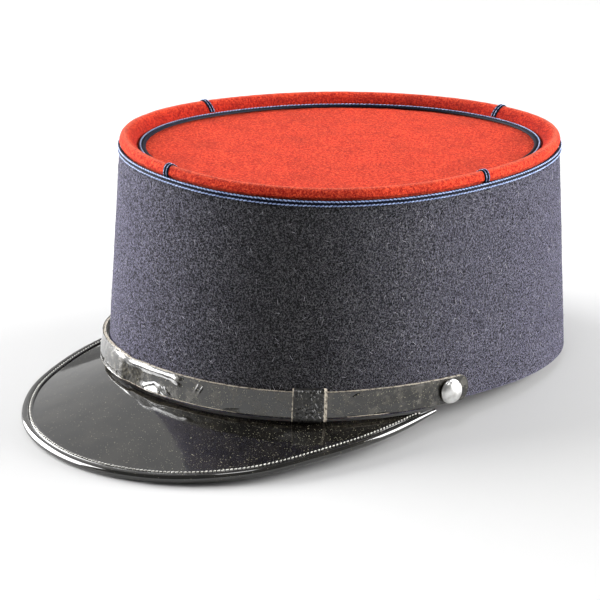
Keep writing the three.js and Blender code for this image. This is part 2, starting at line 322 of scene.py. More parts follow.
def skin(
    name: str,
    points: np.ndarray,
    looped: bool,
    sharp_degrees: float = 50.0,
    marks: dict[str, np.ndarray] | None = None,
) -> bpy.types.Object:
    """Makes a closed body from rows of points, where each row is a closed outline.

    Args:
        name: The piece's name.
        points: Upright points in millimetres, as rows by columns by three.
        looped: Whether the last row joins the first. If not, both end rows are filled.
        sharp_degrees: Edges that turn more than this stay sharp.
        marks: Named attributes, each with one value for every point.

    Returns:
        The new object, with a UV map in metres along the rows and round the outlines.
    """
    rows, columns = points.shape[:2]
    row, column = np.meshgrid(np.arange(rows if looped else rows - 1), np.arange(columns), indexing="ij")
    row, column = row.ravel(), column.ravel()
    next_row, next_column = (row + 1) % rows, (column + 1) % columns
    quads = np.stack([
        row * columns + column, next_row * columns + column,
        next_row * columns + next_column, row * columns + next_column], -1)
    faces = quads.tolist()
    if not looped:
        faces.append(list(range(columns - 1, -1, -1)))
        faces.append(list(range((rows - 1) * columns, rows * columns)))
    mesh = bpy.data.meshes.new(name)
    mesh.from_pydata(FORM.placed(points).reshape(-1, 3).tolist(), [], faces)

    along, around = distances(points, 0, looped), distances(points, 1, True)
    corners = np.stack([
        along[row], around[column], along[row + 1], around[column],
        along[row + 1], around[column + 1], along[row], around[column + 1]], -1)
    values = np.zeros(len(mesh.loops) * 2)
    values[:corners.size] = corners.ravel()
    mesh.uv_layers.new(name="UVMap").data.foreach_set("uv", values)
    for mark, amount in (marks or {}).items():
        layer = mesh.attributes.new(mark, "FLOAT", "POINT")
        layer.data.foreach_set("value", np.broadcast_to(amount, (rows, columns)).ravel())

    close_up(mesh)
    mesh.shade_smooth()
    mesh.set_sharp_from_angle(angle=math.radians(sharp_degrees))
    return add_object(name, mesh)


def close_up(mesh: bpy.types.Mesh) -> None:
    """Merges a mesh's doubled points and turns its faces outwards.

    Args:
        mesh: The mesh, which is changed in place.
    """
    shape = bmesh.new()
    shape.from_mesh(mesh)
    bmesh.ops.remove_doubles(shape, verts=shape.verts, dist=MERGE_DISTANCE)
    bmesh.ops.dissolve_degenerate(shape, edges=shape.edges, dist=MERGE_DISTANCE / 2)
    if shape.calc_volume(signed=True) < 0:
        bmesh.ops.reverse_faces(shape, faces=shape.faces)
    shape.to_mesh(mesh)
    shape.free()


@dataclass
class Path:
    """A line of places that a repeated detail follows, each with a direction outward."""

    points: np.ndarray
    outward: np.ndarray
    looped: bool = False
    reach: float = 0.5

    def spaced(self, pitch: float, start: float = 0.0) -> tuple[np.ndarray, np.ndarray, np.ndarray]:
        """Places at an even pitch along the path.

        Args:
            pitch: Distance between places, in millimetres.
            start: Share of a pitch that the first place is moved on by.

        Returns:
            The places, and the directions along the path and outward there.
        """
        points, outward = self.points, self.outward
        if self.looped:
            points, outward = (np.concatenate([v, v[:1]]) for v in (points, outward))
        run = np.concatenate([[0], np.cumsum(np.linalg.norm(np.diff(points, axis=0), axis=1))])
        count = max(int(run[-1] // pitch), 1)
        at = (np.arange(count) + start) * run[-1] / count
        if not self.looped:
            at += (run[-1] - at[-1] - start * run[-1] / count) / 2

        def sample(values: np.ndarray, places: np.ndarray) -> np.ndarray:
            """Finds a line's values at distances along the path."""
            places = places % run[-1] if self.looped else places
            return np.stack([np.interp(places, run, values[:, k]) for k in range(3)], -1)

        ahead, behind = sample(points, at + self.reach), sample(points, at - self.reach)
        return sample(points, at), ahead - behind, sample(outward, at)


def point_cloud(name: str, paths: list[tuple[np.ndarray, np.ndarray, np.ndarray]]) -> bpy.types.Object:
    """Makes the loose points that a Geometry Nodes tree puts its repeats on.

    Args:
        name: The name of the piece that it becomes.
        paths: Places with their directions along and outward, upright and in millimetres.

    Returns:
        An object with the attributes "along" and "outward".
    """
    place, along, outward = (np.concatenate([path[k] for path in paths]) for k in range(3))
    origin = FORM.placed(np.zeros(3))
    mesh = bpy.data.meshes.new(name)
    mesh.from_pydata(FORM.placed(place).tolist(), [], [])
    for mark, vectors in (("along", along), ("outward", outward)):
        layer = mesh.attributes.new(mark, "FLOAT_VECTOR", "POINT")
        layer.data.foreach_set("vector", unit(FORM.placed(vectors) - origin).ravel())
    return add_object(name, mesh)


def joined(name: str, parts: list[bpy.types.Object]) -> bpy.types.Object:
    """Joins parts into one object with a plain mesh.

    Args:
        name: The new object's name.
        parts: The objects, which are removed.

    Returns:
        The new object.
    """
    shape = bmesh.new()
    for part in parts:
        shape.from_mesh(part.data)
        bpy.data.objects.remove(part)
    mesh = bpy.data.meshes.new(name)
    shape.to_mesh(mesh)
    shape.free()
    mesh.shade_smooth()
    return add_object(name, mesh)


# Node trees


class Nodes:
    """A node tree under construction."""

    def __init__(self, tree: bpy.types.NodeTree) -> None:
        """Starts from a tree."""
        self.tree = tree

    def fill(self, node: bpy.types.Node, inputs: Values) -> None:
        """Sets a node's inputs by name or number, and links those whose value is a socket.

        Args:
            node: The node.
            inputs: A value or a socket to link from, for each input.
        """
        for name, value in inputs.items():
            if isinstance(value, Socket):
                self.tree.links.new(value, node.inputs[name])
            else:
                node.inputs[name].default_value = value

    def add(self, kind: str, inputs: Values | None = None, stops: tuple[tuple[float, str], ...] = (),
            **settings: object) -> bpy.types.bpy_prop_collection:
        """Adds a node.

        Args:
            kind: The node's Blender type.
            inputs: Input names or numbers, each with a value or with a socket to link from.
            stops: A colour ramp's places and hex colours.
            **settings: The node's own settings.

        Returns:
            The new node's outputs.
        """
        made = self.tree.nodes.new(kind)
        for name, value in settings.items():
            setattr(made, name, value)
        while stops and len(made.color_ramp.elements) < len(stops):
            made.color_ramp.elements.new(0.5)
        for number, (place, colour) in enumerate(stops):
            made.color_ramp.elements[number].position = place
            made.color_ramp.elements[number].color = linear(colour)
        self.fill(made, inputs or {})
        return made.outputs


class GeometryTree(Nodes):
    """A Geometry Nodes tree with named inputs, which is run on an object and leaves a plain mesh."""

    def __init__(self, name: str, labels: list[str]) -> None:
        """Makes the tree's sockets.

        Args:
            name: The tree's name.
            labels: Its inputs. Seed is a whole number, Material a material, and the rest numbers.
        """
        super().__init__(bpy.data.node_groups.new(name, "GeometryNodeTree"))
        kinds = {"Seed": "Int", "Material": "Material"}
        sockets = self.tree.interface
        sockets.new_socket("Geometry", in_out="INPUT", socket_type="NodeSocketGeometry")
        for label in labels:
            sockets.new_socket(label, in_out="INPUT", socket_type=f"NodeSocket{kinds.get(label, 'Float')}")
        sockets.new_socket("Geometry", in_out="OUTPUT", socket_type="NodeSocketGeometry")
        self.source = self.add("NodeGroupInput")

    def turned(self, rotation: Socket, tilt: Socket | float, spin: Socket) -> Socket:
        """Turns a rotation about its own Y and Z axes."""
        step = self.add("FunctionNodeEulerToRotation", {0: self.add(VECTOR, {1: tilt, 2: spin})[0]})[0]
        return self.add("FunctionNodeRotateRotation", {0: rotation, 1: step}, rotation_space="LOCAL")[0]

    def end(self, geometry: Socket) -> None:
        """Ends the tree in Realize Instances and Set Material.

        Args:
            geometry: The geometry that the tree gives.
        """
        real = self.add("GeometryNodeRealizeInstances", {0: geometry})[0]
        self.add("NodeGroupOutput", {0: self.add("GeometryNodeSetMaterial", {
            "Geometry": real, "Material": self.source["Material"]})[0]})

    def run(self, piece: bpy.types.Object, values: dict) -> bpy.types.Object:
        """Runs the tree on an object and keeps the result as its plain mesh.

        Args:
            piece: The object.
            values: A value for each named input. Lengths are in metres.

        Returns:
            The same object, with no modifier.
        """
        modifier = piece.modifiers.new(self.tree.name, "NODES")
        modifier.node_group = self.tree
        sockets = {
            item.name: item.identifier for item in self.tree.interface.items_tree
            if item.in_out == "INPUT"}
        for label, value in values.items():
            modifier[sockets[label]] = value
        evaluated = piece.evaluated_get(bpy.context.evaluated_depsgraph_get())
        result = bpy.data.meshes.new_from_object(evaluated)
        piece.modifiers.clear()
        old = piece.data
        piece.data = result
        bpy.data.meshes.remove(old)
        result.name = piece.name
        return piece


def relief_tree() -> GeometryTree:
    """Makes a tree that gives a surface a soft swell and a finer unevenness along its normals.

    Returns:
        The tree.
    """
    made = GeometryTree("surface relief", [
        "Swell Size", "Swell Depth", "Grain Size", "Grain Depth", "Sink", "Material"])
    position = made.add("GeometryNodeInputPosition")[0]
    heights = []
    for label in ("Swell", "Grain"):
        scale = made.add(MATH, {0: 1.0, 1: made.source[f"{label} Size"]}, operation="DIVIDE")[0]
        noise = made.add(NOISE, {"Vector": position, "Scale": scale, "Detail": 2.0})[0]
        centred = made.add(MATH, {0: noise, 1: 0.5}, operation="SUBTRACT")[0]
        depth = made.source[f"{label} Depth"]
        heights.append(made.add(MATH, {0: centred, 1: depth}, operation="MULTIPLY")[0])
    height = made.add(MATH, dict(enumerate(heights)), operation="ADD")[0]
    lift = made.add(MATH, {0: height, 1: made.source["Sink"]}, operation="SUBTRACT")[0]
    normal = made.add("GeometryNodeInputNormal")[0]
    offset = made.add(VECTOR_MATH, {0: normal, "Scale": lift}, operation="SCALE")[0]
    made.end(made.add("GeometryNodeSetPosition", {"Geometry": made.source["Geometry"], "Offset": offset})[0])
    return made


def thread_tree() -> GeometryTree:
    """Makes a tree that lays a short rounded length of thread on every point of a path.

    Returns:
        The tree, which reads the points' attributes "along" and "outward".
    """
    made = GeometryTree("thread along a path", [
        "Length", "Width", "Height", "Turn", "Unevenness", "Seed", "Material"])
    source = made.source
    ball = made.add("GeometryNodeMeshUVSphere", {"Segments": 8, "Rings": 5, "Radius": 0.5})[0]
    size = made.add(VECTOR, {0: source["Length"], 1: source["Width"], 2: source["Height"]})[0]
    thread = made.add("GeometryNodeTransform", {"Geometry": ball, "Scale": size})[0]
    along, outward = (
        made.add(READ, {"Name": label}, data_type="FLOAT_VECTOR")[0] for label in ("along", "outward"))
    seated = made.add(
        "FunctionNodeAxesToRotation", {"Primary Axis": outward, "Secondary Axis": along},
        primary_axis="Z", secondary_axis="X")[0]
    drawn = made.add(RANDOM, {2: -1.0, 3: 1.0, "Seed": source["Seed"]}, data_type="FLOAT")[1]
    uneven = made.add(MATH, {0: drawn, 1: source["Unevenness"]}, operation="MULTIPLY")[0]
    turn, scale = (
        made.add(MATH, {0: uneven, 1: plain}, operation="ADD")[0] for plain in (source["Turn"], 1.0))
    threads = made.add(SCATTER, {
        "Points": source["Geometry"], "Instance": thread, "Rotation": made.turned(seated, 0.0, turn),
        "Scale": scale})[0]
    real = made.add("GeometryNodeRealizeInstances", {0: threads})[0]
    made.end(made.add("GeometryNodeSetShadeSmooth", {"Geometry": real})[0])
    return made


def nap_tree() -> GeometryTree:
    """Makes a tree that scatters short curved wool fibres over the marked part of a felt surface.

    Returns:
        The tree, which reads the surface's attribute "nap".
    """
    made = GeometryTree("felt nap", ["Density", "Length", "Thickness", "Lift", "Seed", "Material"])
    source = made.source
    mask = made.add(READ, {"Name": "nap"}, data_type="FLOAT")[0]
    density = made.add(MATH, {0: mask, 1: source["Density"]}, operation="MULTIPLY")[0]
    roots = made.add("GeometryNodeDistributePointsOnFaces", {
        "Mesh": source["Geometry"], "Density": density, "Seed": source["Seed"]}, distribute_method="RANDOM")
    halfway = made.add(MATH, {0: source["Length"], 1: 0.5}, operation="MULTIPLY")[0]
    bow = made.add("GeometryNodeCurveQuadraticBezier", {
        "Resolution": 3, "Start": (0.0, 0.0, 0.0),
        "Middle": made.add(VECTOR, {0: halfway, 2: source["Lift"]})[0],
        "End": made.add(VECTOR, {0: source["Length"]})[0]})[0]
    profile = made.add("GeometryNodeCurvePrimitiveCircle", {
        "Resolution": 3, "Radius": source["Thickness"]})[0]
    fibre = made.add("GeometryNodeCurveToMesh", {
        "Curve": bow, "Profile Curve": profile, "Fill Caps": True})[0]
    spin, tilt, scale = (
        made.add(RANDOM, {2: low, 3: high, "Seed": source["Seed"]}, data_type="FLOAT")[1]
        for low, high in ((0.0, 2 * math.pi), (-0.5, 0.15), (0.5, 1.4)))
    made.end(made.add(SCATTER, {
        "Points": roots["Points"], "Instance": fibre, "Rotation": made.turned(roots["Rotation"], tilt, spin),
        "Scale": scale})[0])
    return made


# Finishes


class Surface(Nodes):
    """A material under construction, with its Object coordinates."""

    def __init__(self, name: str) -> None:
        """Makes a material with only a Principled shader.

        Args:
            name: The material's name.
        """
        self.material = bpy.data.materials.new(name)
        self.material.use_nodes = True
        super().__init__(self.material.node_tree)
        self.place = self.add("ShaderNodeTexCoord")["Object"]

    def finished(self, inputs: Values) -> bpy.types.Material:
        """Sets or links inputs of the shader, and gives the material."""
        self.fill(self.tree.nodes["Principled BSDF"], inputs)
        return self.material

    def sized(self, size: float, **inputs: float) -> Values:
        """Inputs of a pattern whose features are about a size in millimetres across."""
        return {"Vector": self.place, "Scale": 1 / (size * MM), **inputs}


@dataclass(frozen=True)
class WoolFelt:
    """Fulled wool felt: matted fibres that look like fine salt and pepper, with a soft bloom."""

    name: str
    deep: str
    body: str
    pale: str
    bloom: str
    bloom_deep: str
    # Colour that the felt is multiplied by where it is darkened as painted shade.
    painted_shade_colour: str = "#ffffff"
    # Colour added to the felt where it is lightened as a painted highlight.
    painted_crest_highlight: str = "#000000"
    fleck: float = 1.0
    fleck_depth: float = 0.45
    drift_size: float = 14.0
    drift_range: tuple[float, float] = (0.86, 1.12)
    sheen: float = 0.5
    sheen_roughness: float = 0.45

    def material(self) -> bpy.types.Material:
        """Makes the felt's material.

        Matted fibres give flecks under a millimetre across, drawn a little coarser than real wool
        so that they show, over a slow drift of colour from the way the felt was pressed. Two point
        attributes then paint light and shade into the colour: where the first says so, it is darkened
        as painted shade, and where the second says so, it is lightened as a painted highlight.

        Returns:
            The material.
        """
        made = Surface(self.name)
        flecks = made.add(NOISE, made.sized(self.fleck, Detail=2.0, Roughness=0.7))[0]
        fibres = made.add(NOISE, made.sized(self.fleck / 2, Detail=1.0, Roughness=0.6, Distortion=1.0))[0]
        both = made.add(MATH, {0: flecks, 1: fibres}, operation="ADD")[0]
        grain = made.add(MATH, {0: both, 1: 0.5}, operation="MULTIPLY")[0]
        tone = made.add(RAMP, {0: grain}, ((0.40, self.deep), (0.50, self.body), (0.60, self.pale)))[0]
        pressed = made.add(NOISE, made.sized(self.drift_size, Detail=2.0))[0]
        thin, thick = self.drift_range
        drift = made.add(RANGE, {0: pressed, 1: 0.3, 2: 0.7, 3: thin, 4: thick})[0]
        toned = made.add(VECTOR_MATH, {0: tone, "Scale": drift}, operation="SCALE")[0]
        # Painted shade and painted highlight: one point attribute darkens the colour, the other lightens it
        # (the rim's inner wall and its crest).
        painted_shade_tone, painted_highlight_tone = (
            made.add(RAMP, {0: made.add(MARK, attribute_name=mark)["Fac"]}, ((0.0, plain), (1.0, full)))[0]
            for mark, plain, full in (
                ("painted_shade", "#ffffff", self.painted_shade_colour), ("painted_crest_highlight", "#000000", self.painted_crest_highlight)))
        return made.finished({
            "Base Color": made.add(VECTOR_MATH, {0: toned, 1: painted_shade_tone, 2: painted_highlight_tone}, operation="MULTIPLY_ADD")[0],
            "Roughness": 0.95,
            "Specular IOR Level": 0.2,
            "Sheen Weight": self.sheen,
            "Sheen Roughness": self.sheen_roughness,
            "Sheen Tint": made.add(RAMP, {0: grain}, ((0.43, self.bloom_deep), (0.57, self.bloom)))[0],
            "Normal": made.add(BUMP, {
                "Height": grain, "Distance": self.fleck_depth * MM, "Strength": 1.0})[0],
        })


@dataclass(frozen=True)
class PatentLeather:
    """Leather under a thick clear lacquer: black, wet-looking, softly dented, with dust on it."""

    name: str
    body: str = "#0d0c0a"
    cut: str = "#b9af9e"
    cut_deep: str = "#4a4238"
    cut_grain: float = 1.2
    cut_roughness: float = 0.7
    dust: str = "#7f7b68"
    dust_size: float = 0.55
    dust_share: float = 0.69
    dust_fade: float = 0.05
    dust_roughness: float = 0.4
    lacquer: float = 1.0
    haze: float = 0.06
    haze_worn: float = 0.22
    worn: str = "#1d1b17"
    wear_size: float = 7.0
    wear_range: tuple[float, float] = (0.45, 0.62)
    scuff_roughness: float = 0.5
    scuff_gloss: float = 0.12
    dent_size: float = 9.0
    dent_depth: float = 0.05
    craze_size: float = 1.5
    craze_crack: float = 0.09
    craze_depth: float = 0.0

    def material(self) -> bpy.types.Material:
        """Makes the leather's material.

        The lacquer gives mirror-like reflections that waver over slow dents. Handling dulls it in
        patches, and dust lies on it in specks, more of them where the attribute "dusty" says so.
        Where "cut" says so, the raw cut edge of the leather shows. Where "scuff" says so, the lacquer
        is worn off. Old lacquer that has been bent is crazed with small cracks.

        Returns:
            The material.
        """
        made = Surface(self.name)
        dusty, cut, scuff = (
            made.add(MARK, attribute_name=mark)["Fac"] for mark in ("dusty", "cut", "scuff"))
        dents = made.add(NOISE, made.sized(self.dent_size, Detail=1.0))[0]
        bumps = {"Distance": self.dent_depth * MM, "Strength": 1.0}
        normal = made.add(BUMP, {"Height": dents} | bumps)[0]
        if self.craze_depth:
            cells = made.add(
                "ShaderNodeTexVoronoi", made.sized(self.craze_size, Randomness=1.0),
                feature="DISTANCE_TO_EDGE")[0]
            cracks = made.add(RANGE, {0: cells, 1: 0.0, 2: self.craze_crack})[0]
            bumps["Distance"] = self.craze_depth * MM
            normal = made.add(BUMP, {"Height": cracks, "Normal": normal} | bumps)[0]
        grit = made.add(MATH, {
            0: made.add(NOISE, made.sized(self.dust_size, Detail=1.0))[0],
            1: made.add(RANGE, {0: dusty, 3: 0.0, 4: self.dust_fade})[0]}, operation="ADD")[0]
        specks = made.add(RANGE, {0: grit, 1: self.dust_share, 2: self.dust_share + self.dust_fade})[0]
        patches = made.add(NOISE, made.sized(self.wear_size, Detail=4.0, Roughness=0.65))[0]
        wear = made.add(RANGE, {0: patches, 1: self.wear_range[0], 2: self.wear_range[1]})[0]
        edge = made.add(RANGE, {0: cut, 1: 0.4, 2: 0.6})[0]
        fibres = made.add(NOISE, made.sized(self.cut_grain, Detail=3.0))[0]
        colour = linear(self.body)
        for share, over in (
                (wear, linear(self.worn)), (specks, linear(self.dust)),
                (edge, made.add(RAMP, {0: fibres}, ((0.35, self.cut_deep), (0.55, self.cut)))[0])):
            colour = made.add(MIX, {0: share, 6: colour, 7: over}, data_type="RGBA")[2]
        hazy, gritty = (
            made.add(RANGE, {0: share, 3: low, 4: high})[0]
            for share, low, high in ((wear, self.haze, self.haze_worn), (specks, 0.0, self.dust_roughness)))
        rough = made.add(MATH, {0: hazy, 1: gritty}, operation="MAXIMUM")[0]
        for share, full in ((scuff, self.scuff_roughness), (edge, self.cut_roughness)):
            rough = made.add(RANGE, {0: share, 3: rough, 4: full})[0]
        return made.finished({
            "Base Color": colour,
            "Roughness": rough,
            "IOR": 1.5,
            "Specular IOR Level": made.add(RANGE, {0: scuff, 3: 0.5, 4: self.scuff_gloss})[0],
            "Coat Weight": made.add(RANGE, {0: scuff, 2: 0.8, 3: self.lacquer, 4: 0.0})[0],
            "Coat Roughness": self.haze,
            "Normal": normal,
            "Coat Normal": normal,
        })


@dataclass(frozen=True)
class RayonBraid:
    """Twisted rayon braid: dark navy with a silky sheen. Its paler copy for the ridges' threads paints their
    highlight into the colour.
    """

    name: str
    deep: str
    body: str
    gleam: str
    sheen: float = 0.5
    polish: float = 0.4
    filament_size: float = 0.5
    filament_depth: float = 0.06

    def material(self) -> bpy.types.Material:
        """Makes the braid's material: filaments finer than a tenth of a millimetre, drawn coarser.

        Returns:
            The material.
        """
        made = Surface(self.name)
        filaments = made.add(NOISE, made.sized(self.filament_size, Detail=1.0))[0]
        return made.finished({
            "Base Color": made.add(RAMP, {0: filaments}, ((0.3, self.deep), (0.65, self.body)))[0],
            "Roughness": 0.55,
            "Specular IOR Level": self.polish,
            "Sheen Weight": self.sheen,
            "Sheen Roughness": 0.3,
            "Sheen Tint": linear(self.gleam),
            "Normal": made.add(BUMP, {
                "Height": filaments, "Distance": self.filament_depth * MM, "Strength": 1.0})[0],
        })


@dataclass(frozen=True)
class SewingThread:
    """Waxed linen thread: pale grey and a little shiny."""

    name: str = "waxed linen thread"
    deep: str = "#7d7a74"
    body: str = "#dad8d1"
    twist_size: float = 0.4
    twist_depth: float = 0.04

    def material(self) -> bpy.types.Material:
        """Makes the thread's material, with a fine twist.

        Returns:
            The material.
        """
        made = Surface(self.name)
        twist = made.add(NOISE, made.sized(self.twist_size, Detail=1.0))[0]
        return made.finished({
            "Base Color": made.add(RAMP, {0: twist}, ((0.3, self.deep), (0.6, self.body)))[0],
            "Roughness": 0.5,
            "Normal": made.add(BUMP, {
                "Height": twist, "Distance": self.twist_depth * MM, "Strength": 1.0})[0],
        })


@dataclass(frozen=True)
class SilveredBrass:
    """Stamped brass with a polished silver plate, bright and a little scratched by handling."""

    name: str = "silver-plated brass"
    tarnished: str = "#bab8b3"
    body: str = "#f0f0ee"
    tarnish_size: float = 3.0
    scratch_size: float = 0.5
    scratch_depth: float = 0.01
    roughness: tuple[float, float] = (0.26, 0.46)

    def material(self) -> bpy.types.Material:
        """Makes the plate's material: a mirror softened by fine scratches and thin tarnish.

        Returns:
            The material.
        """
        made = Surface(self.name)
        scratches = made.add(NOISE, made.sized(self.scratch_size, Detail=4.0, Roughness=0.7))[0]
        tarnish = made.add(NOISE, made.sized(self.tarnish_size, Detail=2.0))[0]
        smooth, rough = self.roughness
        return made.finished({
            "Base Color": made.add(RAMP, {0: tarnish}, ((0.25, self.tarnished), (0.6, self.body)))[0],
            "Metallic": 1.0,
            "Roughness": made.add(RANGE, {0: scratches, 1: 0.3, 2: 0.75, 3: smooth, 4: rough})[0],
            "Normal": made.add(BUMP, {
                "Height": scratches, "Distance": self.scratch_depth * MM, "Strength": 1.0})[0],
        })


@dataclass(frozen=True)
class MattePaper:
    """The studio's seamless paper: plain, pale and matte."""

    name: str = "seamless paper"
    body: str = "#b9b9b9"

    def material(self) -> bpy.types.Material:
        """Makes the paper's material."""
        made = Surface(self.name)
        return made.finished({"Base Color": linear(self.body), "Roughness": 0.9, "Specular IOR Level": 0.1})


class Finish(Enum):
    """The finishes that the cap's pieces are given."""

    NAVY_FELT = WoolFelt(
        "navy wool felt", "#020202", "#191919", "#565654", "#d0caff", "#060609", fleck=0.78,
        fleck_depth=0.6, sheen=0.88)
    # The scarlet felt's two extra colours paint shade on the rim's inner wall and a highlight along its
    # crest.
    SCARLET_FELT = WoolFelt(
        "scarlet wool felt", "#8a0e04", "#ae2a16", "#d44828", "#ff7040", "#601408", painted_shade_colour="#d29888",
        painted_crest_highlight="#4a4034", fleck=1.1, fleck_depth=0.8, sheen=0.12)
    LINT = WoolFelt(
        "loose grey wool fibres", "#3c3c40", "#8c8b90", "#c4c2c8", "#d8d4f4", "#8c8a98", fleck=4.0,
        fleck_depth=0.01)
    PATENT = PatentLeather(
        "black patent leather", lacquer=0.8, wear_size=16.0, haze_worn=0.12, dust_share=0.715)
    STRAP_PATENT = PatentLeather(
        "worn patent strap leather", haze_worn=0.42, worn="#36332c", wear_size=4.5, dust_share=0.67,
        dent_size=5.0, dent_depth=0.09)
    CRAZED_PATENT = PatentLeather(
        "crazed patent leather", lacquer=0.3, haze=0.25, haze_worn=0.5, craze_depth=0.12, dust_share=0.68)
    BRAID = RayonBraid("navy rayon braid", "#03050b", "#0a1022", "#4f6390", sheen=0.1, polish=0.1)
    # The same braid in a paler colour for the threads on the ridges: a painted highlight.
    BRAID_PAINTED_HIGHLIGHT = RayonBraid("navy rayon braid, crest threads", "#3a5288", "#a6b8e2", "#f2f6ff", sheen=1.0)
    THREAD = SewingThread()
    SILVER = SilveredBrass()
    PAPER = MattePaper()


class Workshop:
    """Holds the materials and the Geometry Nodes trees that the pieces share."""

    def __init__(self) -> None:
        """Makes every material and tree once."""
        self.materials = {finish: finish.value.material() for finish in Finish}
        self.relief = relief_tree()
        self.threads = thread_tree()
        self.nap = nap_tree()

    def dress(self, piece: bpy.types.Object, finish: Finish, slot: str, *nodes: str) -> None:
        """Gives a finished piece its material and its place in the frame.

        Args:
            piece: The piece.
            finish: Its finish.
            slot: The name of a material slot. Not used.
            *nodes: The CAD nodes that it stands for.
        """
        piece.data.materials.clear()
        piece.data.materials.append(self.materials[finish])
        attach(piece, BODY)
        if nodes:
            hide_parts(*nodes)
        log.info("%s: %d faces", piece.name, len(piece.data.polygons))

    def uneven(self, piece: bpy.types.Object, finish: Finish, swell: tuple[float, float],
               grain: tuple[float, float]) -> None:
        """Gives a piece's surface a swell and a grain along its normals.

        Args:
            piece: The piece.
            finish: Its finish.
            swell: Size and depth of the swell, in millimetres.
            grain: Size and depth of the grain, in millimetres.
        """
        self.relief.run(piece, {
            "Swell Size": swell[0] * MM, "Swell Depth": swell[1] * MM,
            "Grain Size": grain[0] * MM, "Grain Depth": grain[1] * MM,
            "Sink": (swell[1] + grain[1]) * 0.25 * MM, "Material": self.materials[finish]})

    def thread(self, cloud: bpy.types.Object, finish: Finish, size: tuple[float, float, float], turn: float,
               unevenness: float, seed: int) -> bpy.types.Object:
        """Lays a thread on every point of a cloud.

        Args:
            cloud: The points.
            finish: The thread's finish.
            size: Length, width and height of each thread, in millimetres.
            turn: How far each one is turned from the path, in radians.
            unevenness: How much its turn and its size vary.
            seed: The seed of that.

        Returns:
            The same object, with the threads as its mesh.
        """
        sizes = {label: value * MM for label, value in zip(("Length", "Width", "Height"), size)}
        return self.threads.run(cloud, sizes | {
            "Turn": turn, "Unevenness": unevenness, "Seed": seed, "Material": self.materials[finish]})


# Sub-assemblies


@dataclass
class FeltBand:
    """The tall tapered band of navy felt."""

    shop: Workshop
    wall_steps: int = 64
    seam_recess: float = 0.6
    front_dip: float = 1.3
    dip_ends_degrees: tuple[float, float] = (71.25, 75.0)
    corner: float = 0.7
    bare_foot: float = 4.0
    swell: tuple[float, float] = (34.0, 0.5)
    grain: tuple[float, float] = (3.0, 0.2)
    lint_density: float = 42000.0
    lint_length: float = 1.9
    lint_thickness: float = 0.05
    lint_lift: float = 0.3
    lint_seed: int = 7

    def build(self) -> None:
        """Builds the band and the loose fibres of its nap."""
        angle = AROUND[:, None]
        from_front = np.abs(np.degrees(np.arctan2(np.sin(angle), np.cos(angle))))
        floor = self.front_dip * (smooth_step(*self.dip_ends_degrees, from_front) - 1)
        edge = FORM.edge_height_at(angle)
        seam = edge + FORM.seam_height
        wall, corner, rise = FORM.band_wall, self.corner, np.linspace(0, 1, self.wall_steps + 1)
        strips = [
            (floor + corner * (1 - math.sin(turn)), -corner * (1 - math.cos(turn)))
            for turn in np.radians([90, 60, 30])]
        strips += [
            (floor + corner + (edge - self.seam_recess - floor - corner) * rise, 0.0),
            (edge, -self.seam_recess),
            (seam, -self.seam_recess),
            (seam, corner - wall),
            (seam - corner + (floor + 2 * corner - seam) * rise[::2], -wall),
            (floor + 0.3 * corner, 0.3 * corner - wall),
            (floor, corner - wall)]
        height = np.concatenate([heights for heights, _ in strips], 1)
        outset = np.concatenate([np.full_like(heights, out) for heights, out in strips], 1)
        nap = (outset > -0.1) & (height > floor + self.bare_foot)
        band = skin("felt_band", FORM.wall(angle, height, outset), True, 70, {"nap": nap.astype(float)})
        self.shop.uneven(band, Finish.NAVY_FELT, self.swell, self.grain)
        lint = add_object("felt_band_fibres", band.data.copy())
        self.shop.nap.run(lint, {
            "Density": self.lint_density, "Length": self.lint_length * MM,
            "Thickness": self.lint_thickness * MM, "Lift": self.lint_lift * MM,
            "Seed": self.lint_seed, "Material": self.shop.materials[Finish.LINT]})
        self.shop.dress(lint, Finish.LINT, "navy_felt")
        self.shop.dress(band, Finish.NAVY_FELT, "navy_felt", "band")


